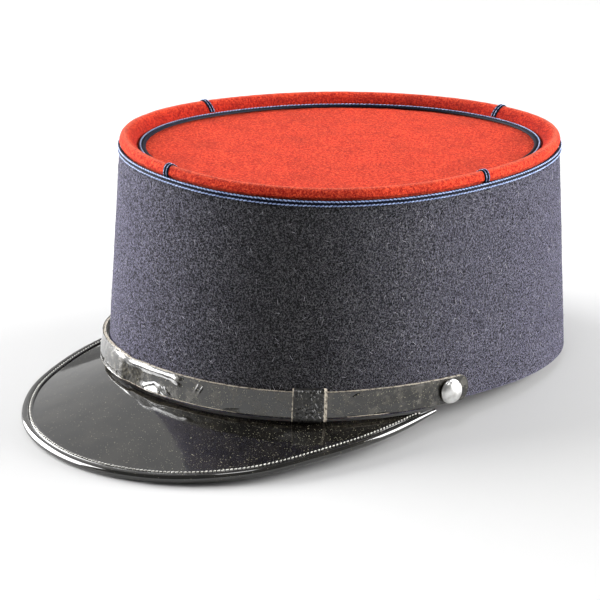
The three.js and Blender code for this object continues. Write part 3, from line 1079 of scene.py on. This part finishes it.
@dataclass
class Crown:
    """The padded scarlet rim and the sunken scarlet top inside it."""

    shop: Workshop
    rim_width: float = 7.6
    rim_foot: float = 1.8
    rim_crest: float = 7.15
    top_thickness: float = 2.0
    top_rings: int = 56
    # Where the rim's inner wall is darkened as painted shade.
    painted_shade_from: float = 0.5
    painted_shade_full: float = 0.8
    # Where the rim's crest is lightened as a painted highlight.
    painted_crest_highlight_middle: float = 0.3
    painted_crest_highlight_reach: float = 0.22
    rim_swell: tuple[float, float] = (22.0, 0.5)
    rim_grain: tuple[float, float] = (4.0, 0.25)
    top_swell: tuple[float, float] = (45.0, 0.7)
    top_grain: tuple[float, float] = (6.0, 0.3)
    rim_section: tuple[tuple[float, float], ...] = (
        (0.14, 0.00), (0.13, 0.16), (0.01, 0.31), (0.00, 0.56), (0.07, 0.82), (0.20, 0.98),
        (0.35, 1.00), (0.50, 0.92), (0.68, 0.74), (0.85, 0.50), (0.96, 0.26), (1.00, 0.00))

    def section(self, count: int) -> np.ndarray:
        """The rim's section.

        Args:
            count: How many points it has.

        Returns:
            The points, as (outset, rise) pairs.
        """
        rows = spline(np.array(self.rim_section), count)
        rise = self.rim_foot + rows[:, 1] * (self.rim_crest - self.rim_foot)
        return np.stack([-rows[:, 0] * self.rim_width, rise], -1)

    def build_rim(self) -> None:
        """Builds the padded roll."""
        section = self.section(40)
        outline = np.concatenate([section, np.linspace(section[-1], section[0], 8)[1:-1]])
        inward = -outline[:, 0] / self.rim_width
        # Painted shade: the inner wall of the rim is darkened.
        painted_shade = (inward - self.painted_shade_from) / (self.painted_shade_full - self.painted_shade_from)
        # Painted highlight: a paler line along the rim's crest.
        painted_crest_highlight = 1 - abs(inward - self.painted_crest_highlight_middle) / self.painted_crest_highlight_reach
        marks = {"painted_shade": np.clip(painted_shade, 0, 1)[None], "painted_crest_highlight": np.clip(painted_crest_highlight, 0, 1)[None]}
        rim = skin("felt_rim", FORM.ring(outline), True, 60, marks)
        self.shop.uneven(rim, Finish.SCARLET_FELT, self.rim_swell, self.rim_grain)
        self.shop.dress(rim, Finish.SCARLET_FELT, "scarlet_felt", "rim")

    def build_top(self) -> None:
        """Builds the sunken top, one stretched sheet of felt."""
        edge = FORM.edge(AROUND, 0, -FORM.band_wall - FORM.clearance)
        middle = np.array([0.0, -FORM.top_forward, 0.0])
        share = np.linspace(0, 1, self.top_rings)[None, :, None]
        upper = middle + (edge[:, None] - middle) * share
        upper[..., 2] = FORM.edge_height(upper[..., 0], upper[..., 1]) + FORM.seam_height
        lower = upper[:, ::-1] - np.array([0, 0, self.top_thickness])
        top = skin("felt_top", np.concatenate([upper, lower], 1), True, 60)
        self.shop.uneven(top, Finish.SCARLET_FELT, self.top_swell, self.top_grain)
        self.shop.dress(top, Finish.SCARLET_FELT, "scarlet_felt", "top")

    def build(self) -> None:
        """Builds the rim and the top."""
        self.build_rim()
        self.build_top()


@dataclass
class BraidTrim:
    """The flat navy braids: one outside, one inside, and four bars over the rim."""

    shop: Workshop
    crown: Crown
    pitch: float = 1.7
    thread_height: float = 0.5
    thread_slant: float = 14.0
    unevenness: float = 0.06
    ridge_steps: int = 9
    ridge_roundness: float = 0.6
    outer_height: float = 2.55
    outer_proud: float = 0.6
    outer_groove: float = 0.4
    outer_core_sunk: float = 0.15
    outer_back: float = 0.3
    outer_ridges: tuple[float, float] = (0.17, 0.83)
    outer_thread: tuple[float, float] = (1.9, 0.62)
    outer_thread_sunk: float = 0.22
    outer_seed: int = 11
    inner_width: float = 3.2
    inner_thickness: float = 0.9
    inner_groove: float = 0.6
    inner_ridge: float = 0.27
    inner_thread: tuple[float, float] = (1.95, 0.6)
    inner_thread_sunk: float = 0.12
    inner_seed: int = 12
    bar_width: float = 3.1
    bar_groove: float = 0.55
    bar_lifts: tuple[float, float, float] = (-0.3, 0.35, 0.2)
    bar_thread: tuple[float, float] = (1.9, 0.42)
    bar_seed: int = 20
    bars: tuple[tuple[str, float], ...] = (
        ("front_bar", -1.4), ("left_bar", 90.1), ("back_bar", 177.4), ("right_bar", -87.4))

    def ridges(self, width: float, proud: float, groove: float) -> np.ndarray:
        """Two rounded ridges side by side.

        Args:
            width: The braid's width.
            proud: How high the ridges stand.
            groove: How much lower the groove between them is.

        Returns:
            Points as (across, up) pairs, which start at zero across.
        """
        share = np.linspace(0, 2, 2 * self.ridge_steps + 1)
        crest = np.abs(np.sin(np.pi * share)) ** self.ridge_roundness
        return np.stack([share / 2 * width, proud - groove * (1 - crest)], -1)

    def lay_threads(self, name: str, runs: list[tuple[Path, float, float]], size: tuple[float, float],
                    seed: int) -> None:
        """Lays slanting threads along ridges, as one piece in the paler crest finish, whose colour is a
        painted highlight.

        Args:
            name: The piece's name.
            runs: Each ridge's path, its turn in degrees and its start as a share of a pitch.
            size: The length of a thread that shows, and its width.
            seed: The seed of the threads' unevenness.
        """
        parts = []
        for path, turn, start in runs:
            cloud = point_cloud(name, [path.spaced(self.pitch, start)])
            parts.append(self.shop.thread(
                cloud, Finish.BRAID_PAINTED_HIGHLIGHT, (*size, self.thread_height), math.radians(turn),
                self.unevenness, seed))
        self.shop.dress(joined(name, parts), Finish.BRAID_PAINTED_HIGHLIGHT, "navy_braid")

    def build_core(self, node: str, ridge: np.ndarray, back: list[tuple[float, float]]) -> None:
        """Builds a braid's body all round the cap.

        Args:
            node: The CAD node that it stands for.
            ridge: The ridged face, as (outset, rise) pairs.
            back: The other corners of the section.
        """
        body = skin(f"{node}_core", FORM.ring(np.concatenate([ridge, np.array(back)])), True, 60)
        self.shop.dress(body, Finish.BRAID, "navy_braid", node)

    def build_outer(self) -> None:
        """Builds the braid round the outside, where band and rim meet."""
        proud, back = self.outer_proud - self.outer_core_sunk, -self.outer_back
        ridge = self.ridges(self.outer_height, proud, self.outer_groove)[:, ::-1]
        self.build_core("outer_braid", ridge, [(back, self.outer_height), (back, 0.0)])
        runs = []
        slants = (self.thread_slant, -self.thread_slant)
        for share, turn, start in zip(self.outer_ridges, slants, (0.0, 0.5)):
            rise = self.outer_height * share
            points = FORM.edge(AROUND, rise, self.outer_proud - self.outer_thread_sunk)
            runs.append((Path(points, points - FORM.edge(AROUND, rise, -1.0), True), turn, start))
        self.lay_threads("outer_braid_threads", runs, self.outer_thread, self.outer_seed)

    def build_inner(self) -> None:
        """Builds the braid round the inside, where rim and top meet."""
        outer = -self.crown.rim_width - FORM.clearance
        low = FORM.seam_height + FORM.clearance
        ridge = self.ridges(self.inner_width, low + self.inner_thickness, self.inner_groove)
        ridge[:, 0] = outer - ridge[:, 0]
        self.build_core("inner_braid", ridge, [(outer - self.inner_width, low), (outer, low)])
        outset = outer - self.inner_width * self.inner_ridge
        points = FORM.edge(AROUND, low + self.inner_thickness - self.inner_thread_sunk, outset)
        path = Path(points, FORM.edge(AROUND, low + 9.0, outset) - points, True)
        runs = [(path, self.thread_slant, 0.0)]
        self.lay_threads("inner_braid_threads", runs, self.inner_thread, self.inner_seed)

    def bar_path(self, lift: float) -> np.ndarray:
        """A line over the rim from the outer braid to the inner one, as (outset, rise) pairs."""
        line = np.concatenate([[[0.1, self.outer_height + 0.1]], self.crown.section(60)[9:56]])
        return line + beside(np.gradient(line, axis=0)) * lift

    def build_bar(self, name: str, angle: float, seed: int) -> None:
        """Builds one short bar over the rim: dark ribbed braid with a thin thread on each rib, painted pale
        as a highlight.

        Args:
            name: The CAD node that it stands for.
            angle: Its angle round the cap.
            seed: The seed of the threads' unevenness.
        """
        low, line, middle = (self.bar_path(lift) for lift in self.bar_lifts)
        half = FORM.angle_of(self.bar_width / 2, angle, float(FORM.edge_height_at(np.array(angle))))
        profile = self.ridges(2.0, 1.0, self.bar_groove)
        turns = angle + np.append(profile[:, 0] - 1.0, [1.0, -1.0]) * half
        blend = profile[:, 1][None, :, None]
        upper = low[:, None] * (1 - blend) + line[:, None] * blend
        outline = np.concatenate([upper, np.repeat(low[:, None], 2, 1)], 1)
        body = skin(f"{name}_core", FORM.edge(turns[None], outline[..., 1], outline[..., 0]), False, 60)
        self.shop.dress(body, Finish.BRAID, "navy_braid", name)
        runs = []
        for side in (-1, 1):
            points, inside = (
                FORM.edge(angle + side * half * 0.5, path[:, 1], path[:, 0]) for path in (middle, low))
            runs.append((Path(points, points - inside), 0, 0.25 + 0.25 * side))
        self.lay_threads(f"{name}_threads", runs, self.bar_thread, seed)

    def build(self) -> None:
        """Builds all the braid."""
        self.build_outer()
        self.build_inner()
        for seed, (name, degrees) in enumerate(self.bars, self.bar_seed):
            self.build_bar(name, math.radians(degrees), seed)


@dataclass
class Peak:
    """The sloping patent leather peak with its rolled, stitched edge."""

    shop: Workshop
    reach: float = 50.5
    end_degrees: float = 74.6
    slope_degrees: float = 19.9
    drop: float = 2.2
    thickness: float = 1.2
    binding_wall: float = 1.0
    flap: float = 3.4
    flap_top: float = 1.25
    flap_steps: int = 16
    flap_least: float = 0.05
    bead_steps: int = 29
    bead_cover: float = 0.76
    bead_groove: float = 0.3
    bead_groove_share: float = 0.16
    skived: float = 0.35
    skived_share: float = 0.1
    tip_roll: float = 0.45
    tip_degrees: float = 13.0
    tip_lift: float = 0.7
    rows: int = 400
    columns: int = 44
    stitch_pitch: float = 1.65
    stitch_from_flap: float = 1.0
    stitch_groove: float = 0.16
    stitch_groove_width: float = 0.3
    stitch_sunk: float = 0.02
    stitch_size: tuple[float, float, float] = (1.35, 0.64, 0.55)
    stitch_turn: float = 0.45
    stitch_unevenness: float = 0.08
    stitch_seed: int = 3
    stitch_free_degrees: float = 4.0
    dusty_degrees: tuple[float, float] = (-5.0, 40.0)
    swell: tuple[float, float] = (38.0, 0.28)
    grain: tuple[float, float] = (9.0, 0.03)
    outline: tuple[tuple[float, float], ...] = (
        (0.00, 1.000), (0.23, 0.925), (0.43, 0.725), (0.61, 0.460), (0.80, 0.240), (0.92, 0.120),
        (1.00, 0.060))

    @property
    def roll(self) -> float:
        """Radius of the rolled edge."""
        return self.thickness / 2 + FORM.clearance + self.binding_wall

    def point(self, angle: np.ndarray, out: np.ndarray, up: np.ndarray) -> np.ndarray:
        """Points of the sloping peak.

        Args:
            angle: Angles round the cap.
            out: Distances out from the band, along the slope.
            up: Heights above the middle of the leather, square to the slope.

        Returns:
            The points, with x, y and z on the last axis.
        """
        slope = math.radians(self.slope_degrees)
        place = FORM.wall(angle, 0 * out, out * math.cos(slope) + up * math.sin(slope))
        place[..., 2] = up * math.cos(slope) - out * math.sin(slope) - self.drop
        return place

    def edge(self) -> tuple[np.ndarray, np.ndarray]:
        """Works out the middle of the rolled edge.

        Returns:
            Its angles and its distances out.
        """
        half = np.array(self.outline)
        rows = np.concatenate([half[:0:-1] * [-1, 1], half])
        rows[:, 0] *= math.radians(self.end_degrees)
        rows[:, 1] = np.maximum(rows[:, 1] * self.reach - self.roll, self.roll / 2)
        line = spline(rows, self.rows)
        return line[:, 0], line[:, 1]

    def flap_end(self, out: np.ndarray) -> np.ndarray:
        """How far out the inner end of the binding's flap lies."""
        return np.maximum(out - self.flap, np.minimum(out - FORM.clearance, 2 * FORM.clearance))

    def tip(self, angle: np.ndarray) -> tuple[np.ndarray, np.ndarray]:
        """Works out how the rolled edge thins towards its two tips.

        Args:
            angle: Angles round the cap.

        Returns:
            How full the edge is there, and how far it is lifted.
        """
        from_front = np.abs(np.degrees(angle))
        share = smooth_step(self.end_degrees, self.end_degrees - self.tip_degrees, from_front)
        full = self.tip_roll + (1 - self.tip_roll) * np.sqrt(share)
        return full, self.roll * (1 - full) * self.tip_lift

    def build_leather(self) -> None:
        """Builds the peak itself."""
        angle, out = self.edge()
        root = FORM.clearance / math.cos(math.radians(self.slope_degrees))
        share = np.linspace(0, 1, self.columns)
        outs = root + (out[:, None] - root) * np.concatenate([share, share[::-1]])
        ups = np.repeat([self.thickness / 2, -self.thickness / 2], self.columns)
        dusty = smooth_step(*self.dusty_degrees, np.degrees(angle[:, None]))
        points = self.point(angle[:, None], outs, np.broadcast_to(ups, outs.shape))
        leather = skin("peak_leather", points, False, marks={"dusty": dusty})
        self.shop.uneven(leather, Finish.PATENT, self.swell, self.grain)
        self.shop.dress(leather, Finish.PATENT, "patent_leather", "peak")

    def build_binding(self) -> None:
        """Builds the rolled edge: a full bead outside, and a thin flap stitched down inside it."""
        angle, out = self.edge()
        full, lift = self.tip(angle)
        radius, inner = self.roll * full, self.flap_end(out)
        top, under = self.flap_top * full + lift, self.thickness / 2 * full
        bead_from = math.degrees(math.asin(self.flap_top / self.roll))
        flat = np.maximum(out - radius * math.cos(math.radians(bead_from)) - inner, self.flap_least)
        share = np.linspace(0, 1, self.flap_steps)
        from_stitches = share * (self.flap - self.roll * self.bead_cover) - self.stitch_from_flap
        sunk = self.stitch_groove * np.exp(-(from_stitches / self.stitch_groove_width) ** 2)
        sunk += self.bead_groove * np.exp(-((share - 1) / self.bead_groove_share) ** 2)
        sunk += self.skived * np.exp(-share / self.skived_share)
        over = [(inner + flat * s, top - g * full) for s, g in zip(share, sunk)]
        bead = [
            (out + radius * math.cos(turn), lift + radius * math.sin(turn))
            for turn in np.radians(np.linspace(bead_from - 180, 180 - bead_from, self.bead_steps))]
        rim = out + FORM.clearance * full
        section = [(o, -u) for o, u in over] + bead + over[::-1]
        section += [(inner, under), (rim, under), (rim, -under), (inner, -under)]
        outs, ups = (np.stack(column, -1) for column in zip(*section))
        binding = skin("peak_rolled_edge", self.point(angle[:, None], outs, ups), False)
        self.shop.dress(binding, Finish.PATENT, "patent_leather", "peak_binding")

    def build_stitches(self) -> None:
        """Builds the row of stitches through the flap, above and below."""
        angle, out = self.edge()
        keep = np.abs(np.degrees(angle)) < self.end_degrees - self.stitch_free_degrees
        angle, out = angle[keep], out[keep]
        full, lift = self.tip(angle)
        place = self.flap_end(out) + self.stitch_from_flap
        paths = []
        for side in (1, -1):
            up = side * ((self.flap_top - self.stitch_sunk) * full + lift)
            points = self.point(angle, place, up)
            outward = self.point(angle, place, up + side) - points
            paths.append(Path(points, outward).spaced(self.stitch_pitch))
        stitches = self.shop.thread(
            point_cloud("peak_stitches", paths), Finish.THREAD, self.stitch_size, self.stitch_turn,
            self.stitch_unevenness, self.stitch_seed)
        self.shop.dress(stitches, Finish.THREAD, "patent_leather")

    def build(self) -> None:
        """Builds the peak, its edge and its stitches."""
        self.build_leather()
        self.build_binding()
        self.build_stitches()


@dataclass(frozen=True)
class Crease:
    """One soft fold in the strap: where its middle is, how long and wide it is, and how proud."""

    degrees: float
    height: float
    length: float
    width: float
    proud: float
    slant: float = 0.0

    def rise(self, along: np.ndarray, height: np.ndarray, arm: float) -> np.ndarray:
        """How far the fold lifts the strap's face.

        Args:
            along: Angles round the cap.
            height: Heights on the strap.
            arm: Millimetres to a radian of the strap.

        Returns:
            The lift in millimetres.
        """
        across, up = (along - math.radians(self.degrees)) * arm, height - self.height
        turn = math.radians(self.slant)
        long = across * math.cos(turn) + up * math.sin(turn)
        wide = up * math.cos(turn) - across * math.sin(turn)
        return self.proud * np.exp(-(long / self.length) ** 2 - (wide / self.width) ** 2)


@dataclass(frozen=True)
class Stretch:
    """A stretch of the strap in degrees round the cap, which fades in and fades out."""

    fade_in: tuple[float, float]
    fade_out: tuple[float, float]

    def share(self, degrees: np.ndarray) -> np.ndarray:
        """How much of the stretch a place has: 1 inside it and 0 beyond its ends."""
        return smooth_step(*self.fade_in, degrees) * smooth_step(*self.fade_out, degrees)


@dataclass
class ChinStrap:
    """The patent leather strap across the front, its keeper and its two buttons."""

    shop: Workshop
    creases: tuple[Crease, ...] = (
        Crease(-2.0, 0.4, 9.5, 2.2, 0.75),
        Crease(-3.0, 3.3, 2.4, 0.5, 0.22, 20.0),
        Crease(0.5, 3.6, 2.6, 0.5, 0.25, -12.0),
        Crease(3.8, 2.6, 2.4, 0.5, 0.22, -35.0),
        Crease(-4.0, 1.7, 1.8, 0.4, -0.2, 25.0),
        Crease(1.5, 1.6, 2.2, 0.45, -0.2, -20.0),
        Crease(-3.5, 9.1, 17.0, 1.2, 0.45),
        Crease(7.6, 8.3, 2.6, 1.4, 0.5, -8.0),
        Crease(14.3, 7.4, 2.3, 0.45, 0.3, 62.0),
        Crease(15.7, 7.2, 2.2, 0.4, 0.28, 62.0),
        Crease(25.0, 1.2, 3.0, 0.5, 0.15, 10.0),
        Crease(70.0, 9.6, 5.0, 0.6, 0.2, 4.0),
        Crease(64.0, 4.5, 9.0, 2.0, -0.3, 3.0),
        Crease(-11.5, 9.5, 4.6, 4.5, 1.0),
        Crease(54.5, 9.0, 1.6, 0.5, 0.2, 30.0),
        Crease(55.5, 8.2, 1.0, 0.4, 0.2, -50.0),
        Crease(53.5, 0.2, 3.0, 0.5, 0.2),
        Crease(60.5, 0.3, 4.0, 0.5, 0.2),
        Crease(66.0, 0.2, 3.0, 0.4, 0.15),
    )
    puffed: Stretch = Stretch((-42, -34), (-12, -17))
    puff: float = 1.1
    puff_middle: float = 3.5
    puff_reach: float = 7.5
    scuffed: Stretch = Stretch((-17, -15), (-5, -8))
    scuff_top: tuple[float, float] = (9.5, 7.5)
    scuff_ripple: float = 0.08
    ripple_sizes: tuple[float, float] = (0.47, 0.55)
    ripple_wavers: tuple[float, float] = (1.3, 1.9)
    worn_edges: tuple[Stretch, ...] = (Stretch((-38, -34), (34, 20)), Stretch((51, 54), (64, 61)))
    worn_width: tuple[float, float] = (0.75, 0.4)
    height: float = 11.0
    thickness: float = 1.5
    past_button: float = 9.9
    corner: float = 4.0
    corner_steps: int = 9
    bevel: float = 0.45
    face_steps: int = 40
    length_steps: int = 900
    swell: tuple[float, float] = (11.0, 0.35)
    grain: tuple[float, float] = (3.0, 0.14)
    bow_degrees: float = 14.0
    keeper_degrees: float = 43.7
    keeper_length: float = 13.4
    keeper_wall: float = 1.0
    keeper_hem: float = 1.25
    keeper_lip: float = 0.45
    keeper_corner: float = 0.5
    button_degrees: float = 78.4
    button_radius: float = 5.1
    button_height: float = 3.6
    button_rim: float = 1.4
    dome_width: float = 0.94
    dome_from: float = 0.12
    shank_radius: float = 1.3
    foot_radius: float = 2.4
    foot_thickness: float = 1.0
    button_steps: int = 64

    def back(self, angle: np.ndarray) -> np.ndarray:
        """How far the strap's back stands out from the band."""
        away = (np.abs(angle) - math.radians(self.keeper_degrees)) / math.radians(self.bow_degrees)
        return FORM.clearance + (self.keeper_wall + FORM.clearance) * np.exp(-away * away)

    def ends(self) -> tuple[np.ndarray, np.ndarray]:
        """Works out how the strap runs to its rounded ends.

        Returns:
            Its angles from end to end, and how much an end trims its edges there.
        """
        middle, button = self.height / 2, math.radians(self.button_degrees)
        end = button + FORM.angle_of(self.past_button, button, middle)
        corner = FORM.angle_of(self.corner, end, middle)
        turns = np.linspace(0, math.pi / 2, self.corner_steps + 1)[:-1]
        tips, trims = end - corner * (1 - np.cos(turns)), self.corner * (1 - np.sin(turns))
        plain = np.linspace(corner - end, end - corner, self.length_steps)
        angle = np.concatenate([-tips, plain, tips[::-1]])
        return angle[:, None], np.concatenate([trims, 0 * plain, trims[::-1]])[:, None]

    def rippled(self, across: np.ndarray, heights: np.ndarray) -> np.ndarray:
        """Works out the fine crossed ripples of worn leather.

        Args:
            across: Places along the strap, in millimetres.
            heights: Heights on it.

        Returns:
            The ripples' heights, from -1 to 1.
        """
        along, over = self.ripple_sizes
        slow, slower = self.ripple_wavers
        lengthwise = np.sin(across / along + 1.7 * np.sin(heights / slow))
        return lengthwise * np.sin(heights / over + 2 * np.sin(across / slower))

    def build_strap(self) -> None:
        """Builds the strap, with rounded ends."""
        angle, low = self.ends()
        high, bevel, depth = self.height - low, self.bevel, self.thickness - self.bevel
        quarter = np.radians([0, 30, 60, 90])
        side, plain = len(quarter), self.face_steps
        face = np.linspace(0, 1, plain + 2)[1:-1]
        heights = np.concatenate([
            low + 0 * quarter, low + bevel * (1 - np.cos(quarter)),
            low + bevel + (high - low - 2 * bevel) * face,
            high - bevel * (1 - np.sin(quarter[::-1])), high + 0 * quarter], 1)
        corner = depth + bevel * np.sin(quarter)
        back = depth * np.linspace(0, 1, side)
        outs = np.concatenate([back, corner, np.full(plain, self.thickness), corner[::-1], back[::-1]])
        raw = np.array([1, 0.3, 0, 0])
        cut = np.concatenate([np.ones(side), raw, np.zeros(plain), raw[::-1], np.ones(side)])
        arm = float(np.linalg.norm(FORM.wall(0.01, 0, 0) - FORM.wall(-0.01, 0, 0))) / 0.02
        degrees = np.degrees(angle)
        lift = sum(crease.rise(angle, heights, arm) for crease in self.creases)
        swollen = np.maximum(0, 1 - ((heights - self.puff_middle) / self.puff_reach) ** 2)
        scuff = self.scuffed.share(degrees) * smooth_step(*self.scuff_top, heights)
        lift = lift + self.puff * self.puffed.share(degrees) * swollen
        lift = lift + self.scuff_ripple * scuff * self.rippled(angle * arm, heights)
        worn = smooth_step(*self.worn_width, heights - low) * np.maximum(
            *(edge.share(degrees) for edge in self.worn_edges))
        marks = {"cut": np.maximum(cut, worn), "scuff": scuff}
        points = FORM.wall(angle, heights, self.back(angle) + outs + lift)
        strap = skin("chin_strap_leather", points, False, 60, marks)
        self.shop.uneven(strap, Finish.STRAP_PATENT, self.swell, self.grain)
        self.shop.dress(strap, Finish.STRAP_PATENT, "patent_leather", "chin_strap")

    def keeper_line(self) -> np.ndarray:
        """Works out the inside of the keeper's loop round the strap.

        Returns:
            The loop, as (outset, height) pairs.
        """
        corner, inside, outside = self.keeper_corner, -FORM.clearance, self.thickness + FORM.clearance
        low, high = -FORM.clearance, self.height + FORM.clearance
        rise = np.linspace(low + 3 * corner, high - 3 * corner, 12)
        return np.array(
            arc((outside - corner, low + corner), corner, -90, 0, 4)
            + [(outside, height) for height in rise]
            + arc((outside - corner, high - corner), corner, 0, 90, 4)
            + arc((inside + corner, high - corner), corner, 90, 180, 4)
            + [(inside, height) for height in rise[::-1]]
            + arc((inside + corner, low + corner), corner, 180, 270, 4))

    def build_keeper(self) -> None:
        """Builds the leather loop that slides on the strap, its two ends skived to a pale edge."""
        at, half_length = math.radians(self.keeper_degrees), self.keeper_length / 2
        half = FORM.angle_of(half_length, at, self.height / 2)
        line = self.keeper_line()
        out = beside(np.roll(line, -1, 0) - np.roll(line, 1, 0))
        right, left = (1 - reach / half_length for reach in (self.keeper_hem, self.keeper_lip))
        across = np.linspace(-left, right, 25)
        profile = np.array([
            (-1.0, 0.0, 1.0), (-1.0, 0.6, 1.0), (-1.0, 0.85, 1.0), (-left - 0.005, 1.0, 1.0),
            *((a, 1.0, 0.0) for a in across),
            (right + 0.005, 0.98, 1.0), (0.99, 0.9, 1.0), (1.0, 0.5, 1.0), (1.0, 0.0, 1.0),
            *((a, 0.0, 1.0) for a in across[::-1])])
        turn = at + profile[None, :, 0] * half
        place = line[:, None] + out[:, None] * profile[None, :, 1, None] * self.keeper_wall
        points = FORM.wall(turn, place[..., 1], self.back(turn) + place[..., 0])
        keeper = skin("strap_keeper_loop", points, True, 40, {"cut": profile[:, 2]})
        self.shop.dress(keeper, Finish.CRAZED_PATENT, "patent_leather", "strap_keeper")

    def build_button(self, side: int, node: str) -> None:
        """Builds a domed button with its shank and foot.

        Args:
            side: 1 for the wearer's left, and -1 for the right.
            node: The CAD node that it stands for.
        """
        angle = side * math.radians(self.button_degrees)
        front = float(self.back(np.array(angle))) + self.thickness + FORM.clearance
        depth = front + FORM.band_wall + FORM.clearance
        seat, ahead = (FORM.wall(angle, self.height / 2, front + k) for k in (0, 1))
        out = unit(ahead - seat)
        level = np.cross([0, 0, 1], out)
        up = np.cross(out, level)
        rim, radius = self.button_rim, self.button_radius
        dome = [
            (radius * math.cos(t) * self.dome_width, rim + (self.button_height - rim) * math.sin(t))
            for t in np.linspace(self.dome_from, math.pi / 2, 14)]
        profile = np.array([
            (0.0, -depth - self.foot_thickness), (self.foot_radius, -depth - self.foot_thickness),
            (self.foot_radius, -depth), (self.shank_radius, -depth), (self.shank_radius, 0.0),
            *arc((radius - rim / 2, rim / 2), rim / 2, -90, 120, 10), *dome])
        profile[-1, 0] = 0
        turn = np.linspace(0, 2 * np.pi, self.button_steps, endpoint=False)[:, None]
        ring = np.cos(turn)[..., None] * level + np.sin(turn)[..., None] * up
        points = seat + ring * profile[None, :, 0, None] + out * profile[None, :, 1, None]
        self.shop.dress(skin(f"{node}_dome", points, True, 35), Finish.SILVER, "silver_metal", node)

    def build(self) -> None:
        """Builds the strap, the keeper and the buttons."""
        self.build_strap()
        self.build_keeper()
        self.build_button(1, "button_left")
        self.build_button(-1, "button_right")


# Studio


@dataclass(frozen=True)
class Softbox:
    """A square studio light, placed by its direction from the cap."""

    name: str
    azimuth: float
    elevation: float
    distance: float
    size: float
    watts: float

    def build(self, target: Vector) -> None:
        """Adds the light, turned towards a target.

        Args:
            target: The place that it shines on.
        """
        data = bpy.data.lights.new(self.name, "AREA")
        data.shape = "SQUARE"
        data.size = self.size
        data.energy = self.watts
        light = add_object(self.name, data)
        light.visible_camera = False
        turn, lift = math.radians(self.azimuth), math.radians(self.elevation)
        level = math.cos(lift)
        back = Vector((math.sin(turn) * level, -math.cos(turn) * level, math.sin(lift)))
        light.location = target + back * self.distance
        light.rotation_mode = "QUATERNION"
        light.rotation_quaternion = (-back).to_track_quat("-Z", "Y")


@dataclass
class Studio:
    """The pale floor, the lights and the camera."""

    shop: Workshop
    image_pixels: int = 600
    focal_pixels: float = 3205.55
    sensor_mm: float = 36.0
    camera_place: tuple[float, float, float] = (918.9, -869.6, 487.6)
    camera_right: tuple[float, float, float] = (0.6963, 0.7170, -0.0330)
    camera_up: tuple[float, float, float] = (-0.2198, 0.2568, 0.9411)
    camera_back: tuple[float, float, float] = (0.6833, -0.6480, 0.3364)
    floor_half: float = 12.0
    world_strength: float = 0.22
    target: Vector = field(default_factory=lambda: Vector((0.0, 0.01, 0.05)))
    lights: tuple[Softbox, ...] = (
        Softbox("left softbox", -63, 9, 1.1, 1.24, 74),
        Softbox("right softbox", 138, 10, 1.1, 0.9, 49),
        Softbox("key softbox", 242, 45, 1.8, 2.8, 14),
        Softbox("overhead softbox", 46, 76, 1.5, 0.35, 3.8),
    )

    def build_camera(self) -> None:
        """Adds the camera at the photograph's viewing angle."""
        data = bpy.data.cameras.new("camera")
        data.sensor_width = self.sensor_mm
        data.lens = self.focal_pixels / self.image_pixels * self.sensor_mm
        data.clip_start, data.clip_end = 0.05, 60
        camera = add_object("camera", data)
        axes = Matrix((self.camera_right, self.camera_up, self.camera_back)).transposed().to_4x4()
        camera.matrix_world = Matrix.Translation(Vector(self.camera_place) * MM) @ axes
        bpy.context.scene.camera = camera

    def build_floor(self) -> None:
        """Adds the floor."""
        half = self.floor_half
        corners = [(-half, -half, 0), (half, -half, 0), (half, half, 0), (-half, half, 0)]
        mesh = bpy.data.meshes.new("floor")
        mesh.from_pydata(corners, [], [(0, 1, 2, 3)])
        mesh.materials.append(self.shop.materials[Finish.PAPER])
        floor = add_object("floor", mesh)

    def build(self) -> None:
        """Builds the whole studio."""
        world = bpy.data.worlds.new("studio")
        world.use_nodes = True
        sky = world.node_tree.nodes["Background"].inputs
        sky["Color"].default_value = (1, 1, 1, 1)
        sky["Strength"].default_value = self.world_strength
        bpy.context.scene.world = world
        bpy.context.scene.view_settings.view_transform = "Standard"
        for light in self.lights:
            light.build(self.target)
        self.build_floor()
        self.build_camera()


def main() -> None:
    logging.basicConfig(level=logging.INFO, format="%(message)s")
    shop = Workshop()
    Studio(shop).build()
    crown = Crown(shop)
    for part in (FeltBand(shop), crown, BraidTrim(shop, crown), Peak(shop), ChinStrap(shop)):
        part.build()
    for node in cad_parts.values():
        if not node.hide_render:
            log.info("shown as it is: %s", node.name)


if __name__ == "__main__":
    main()
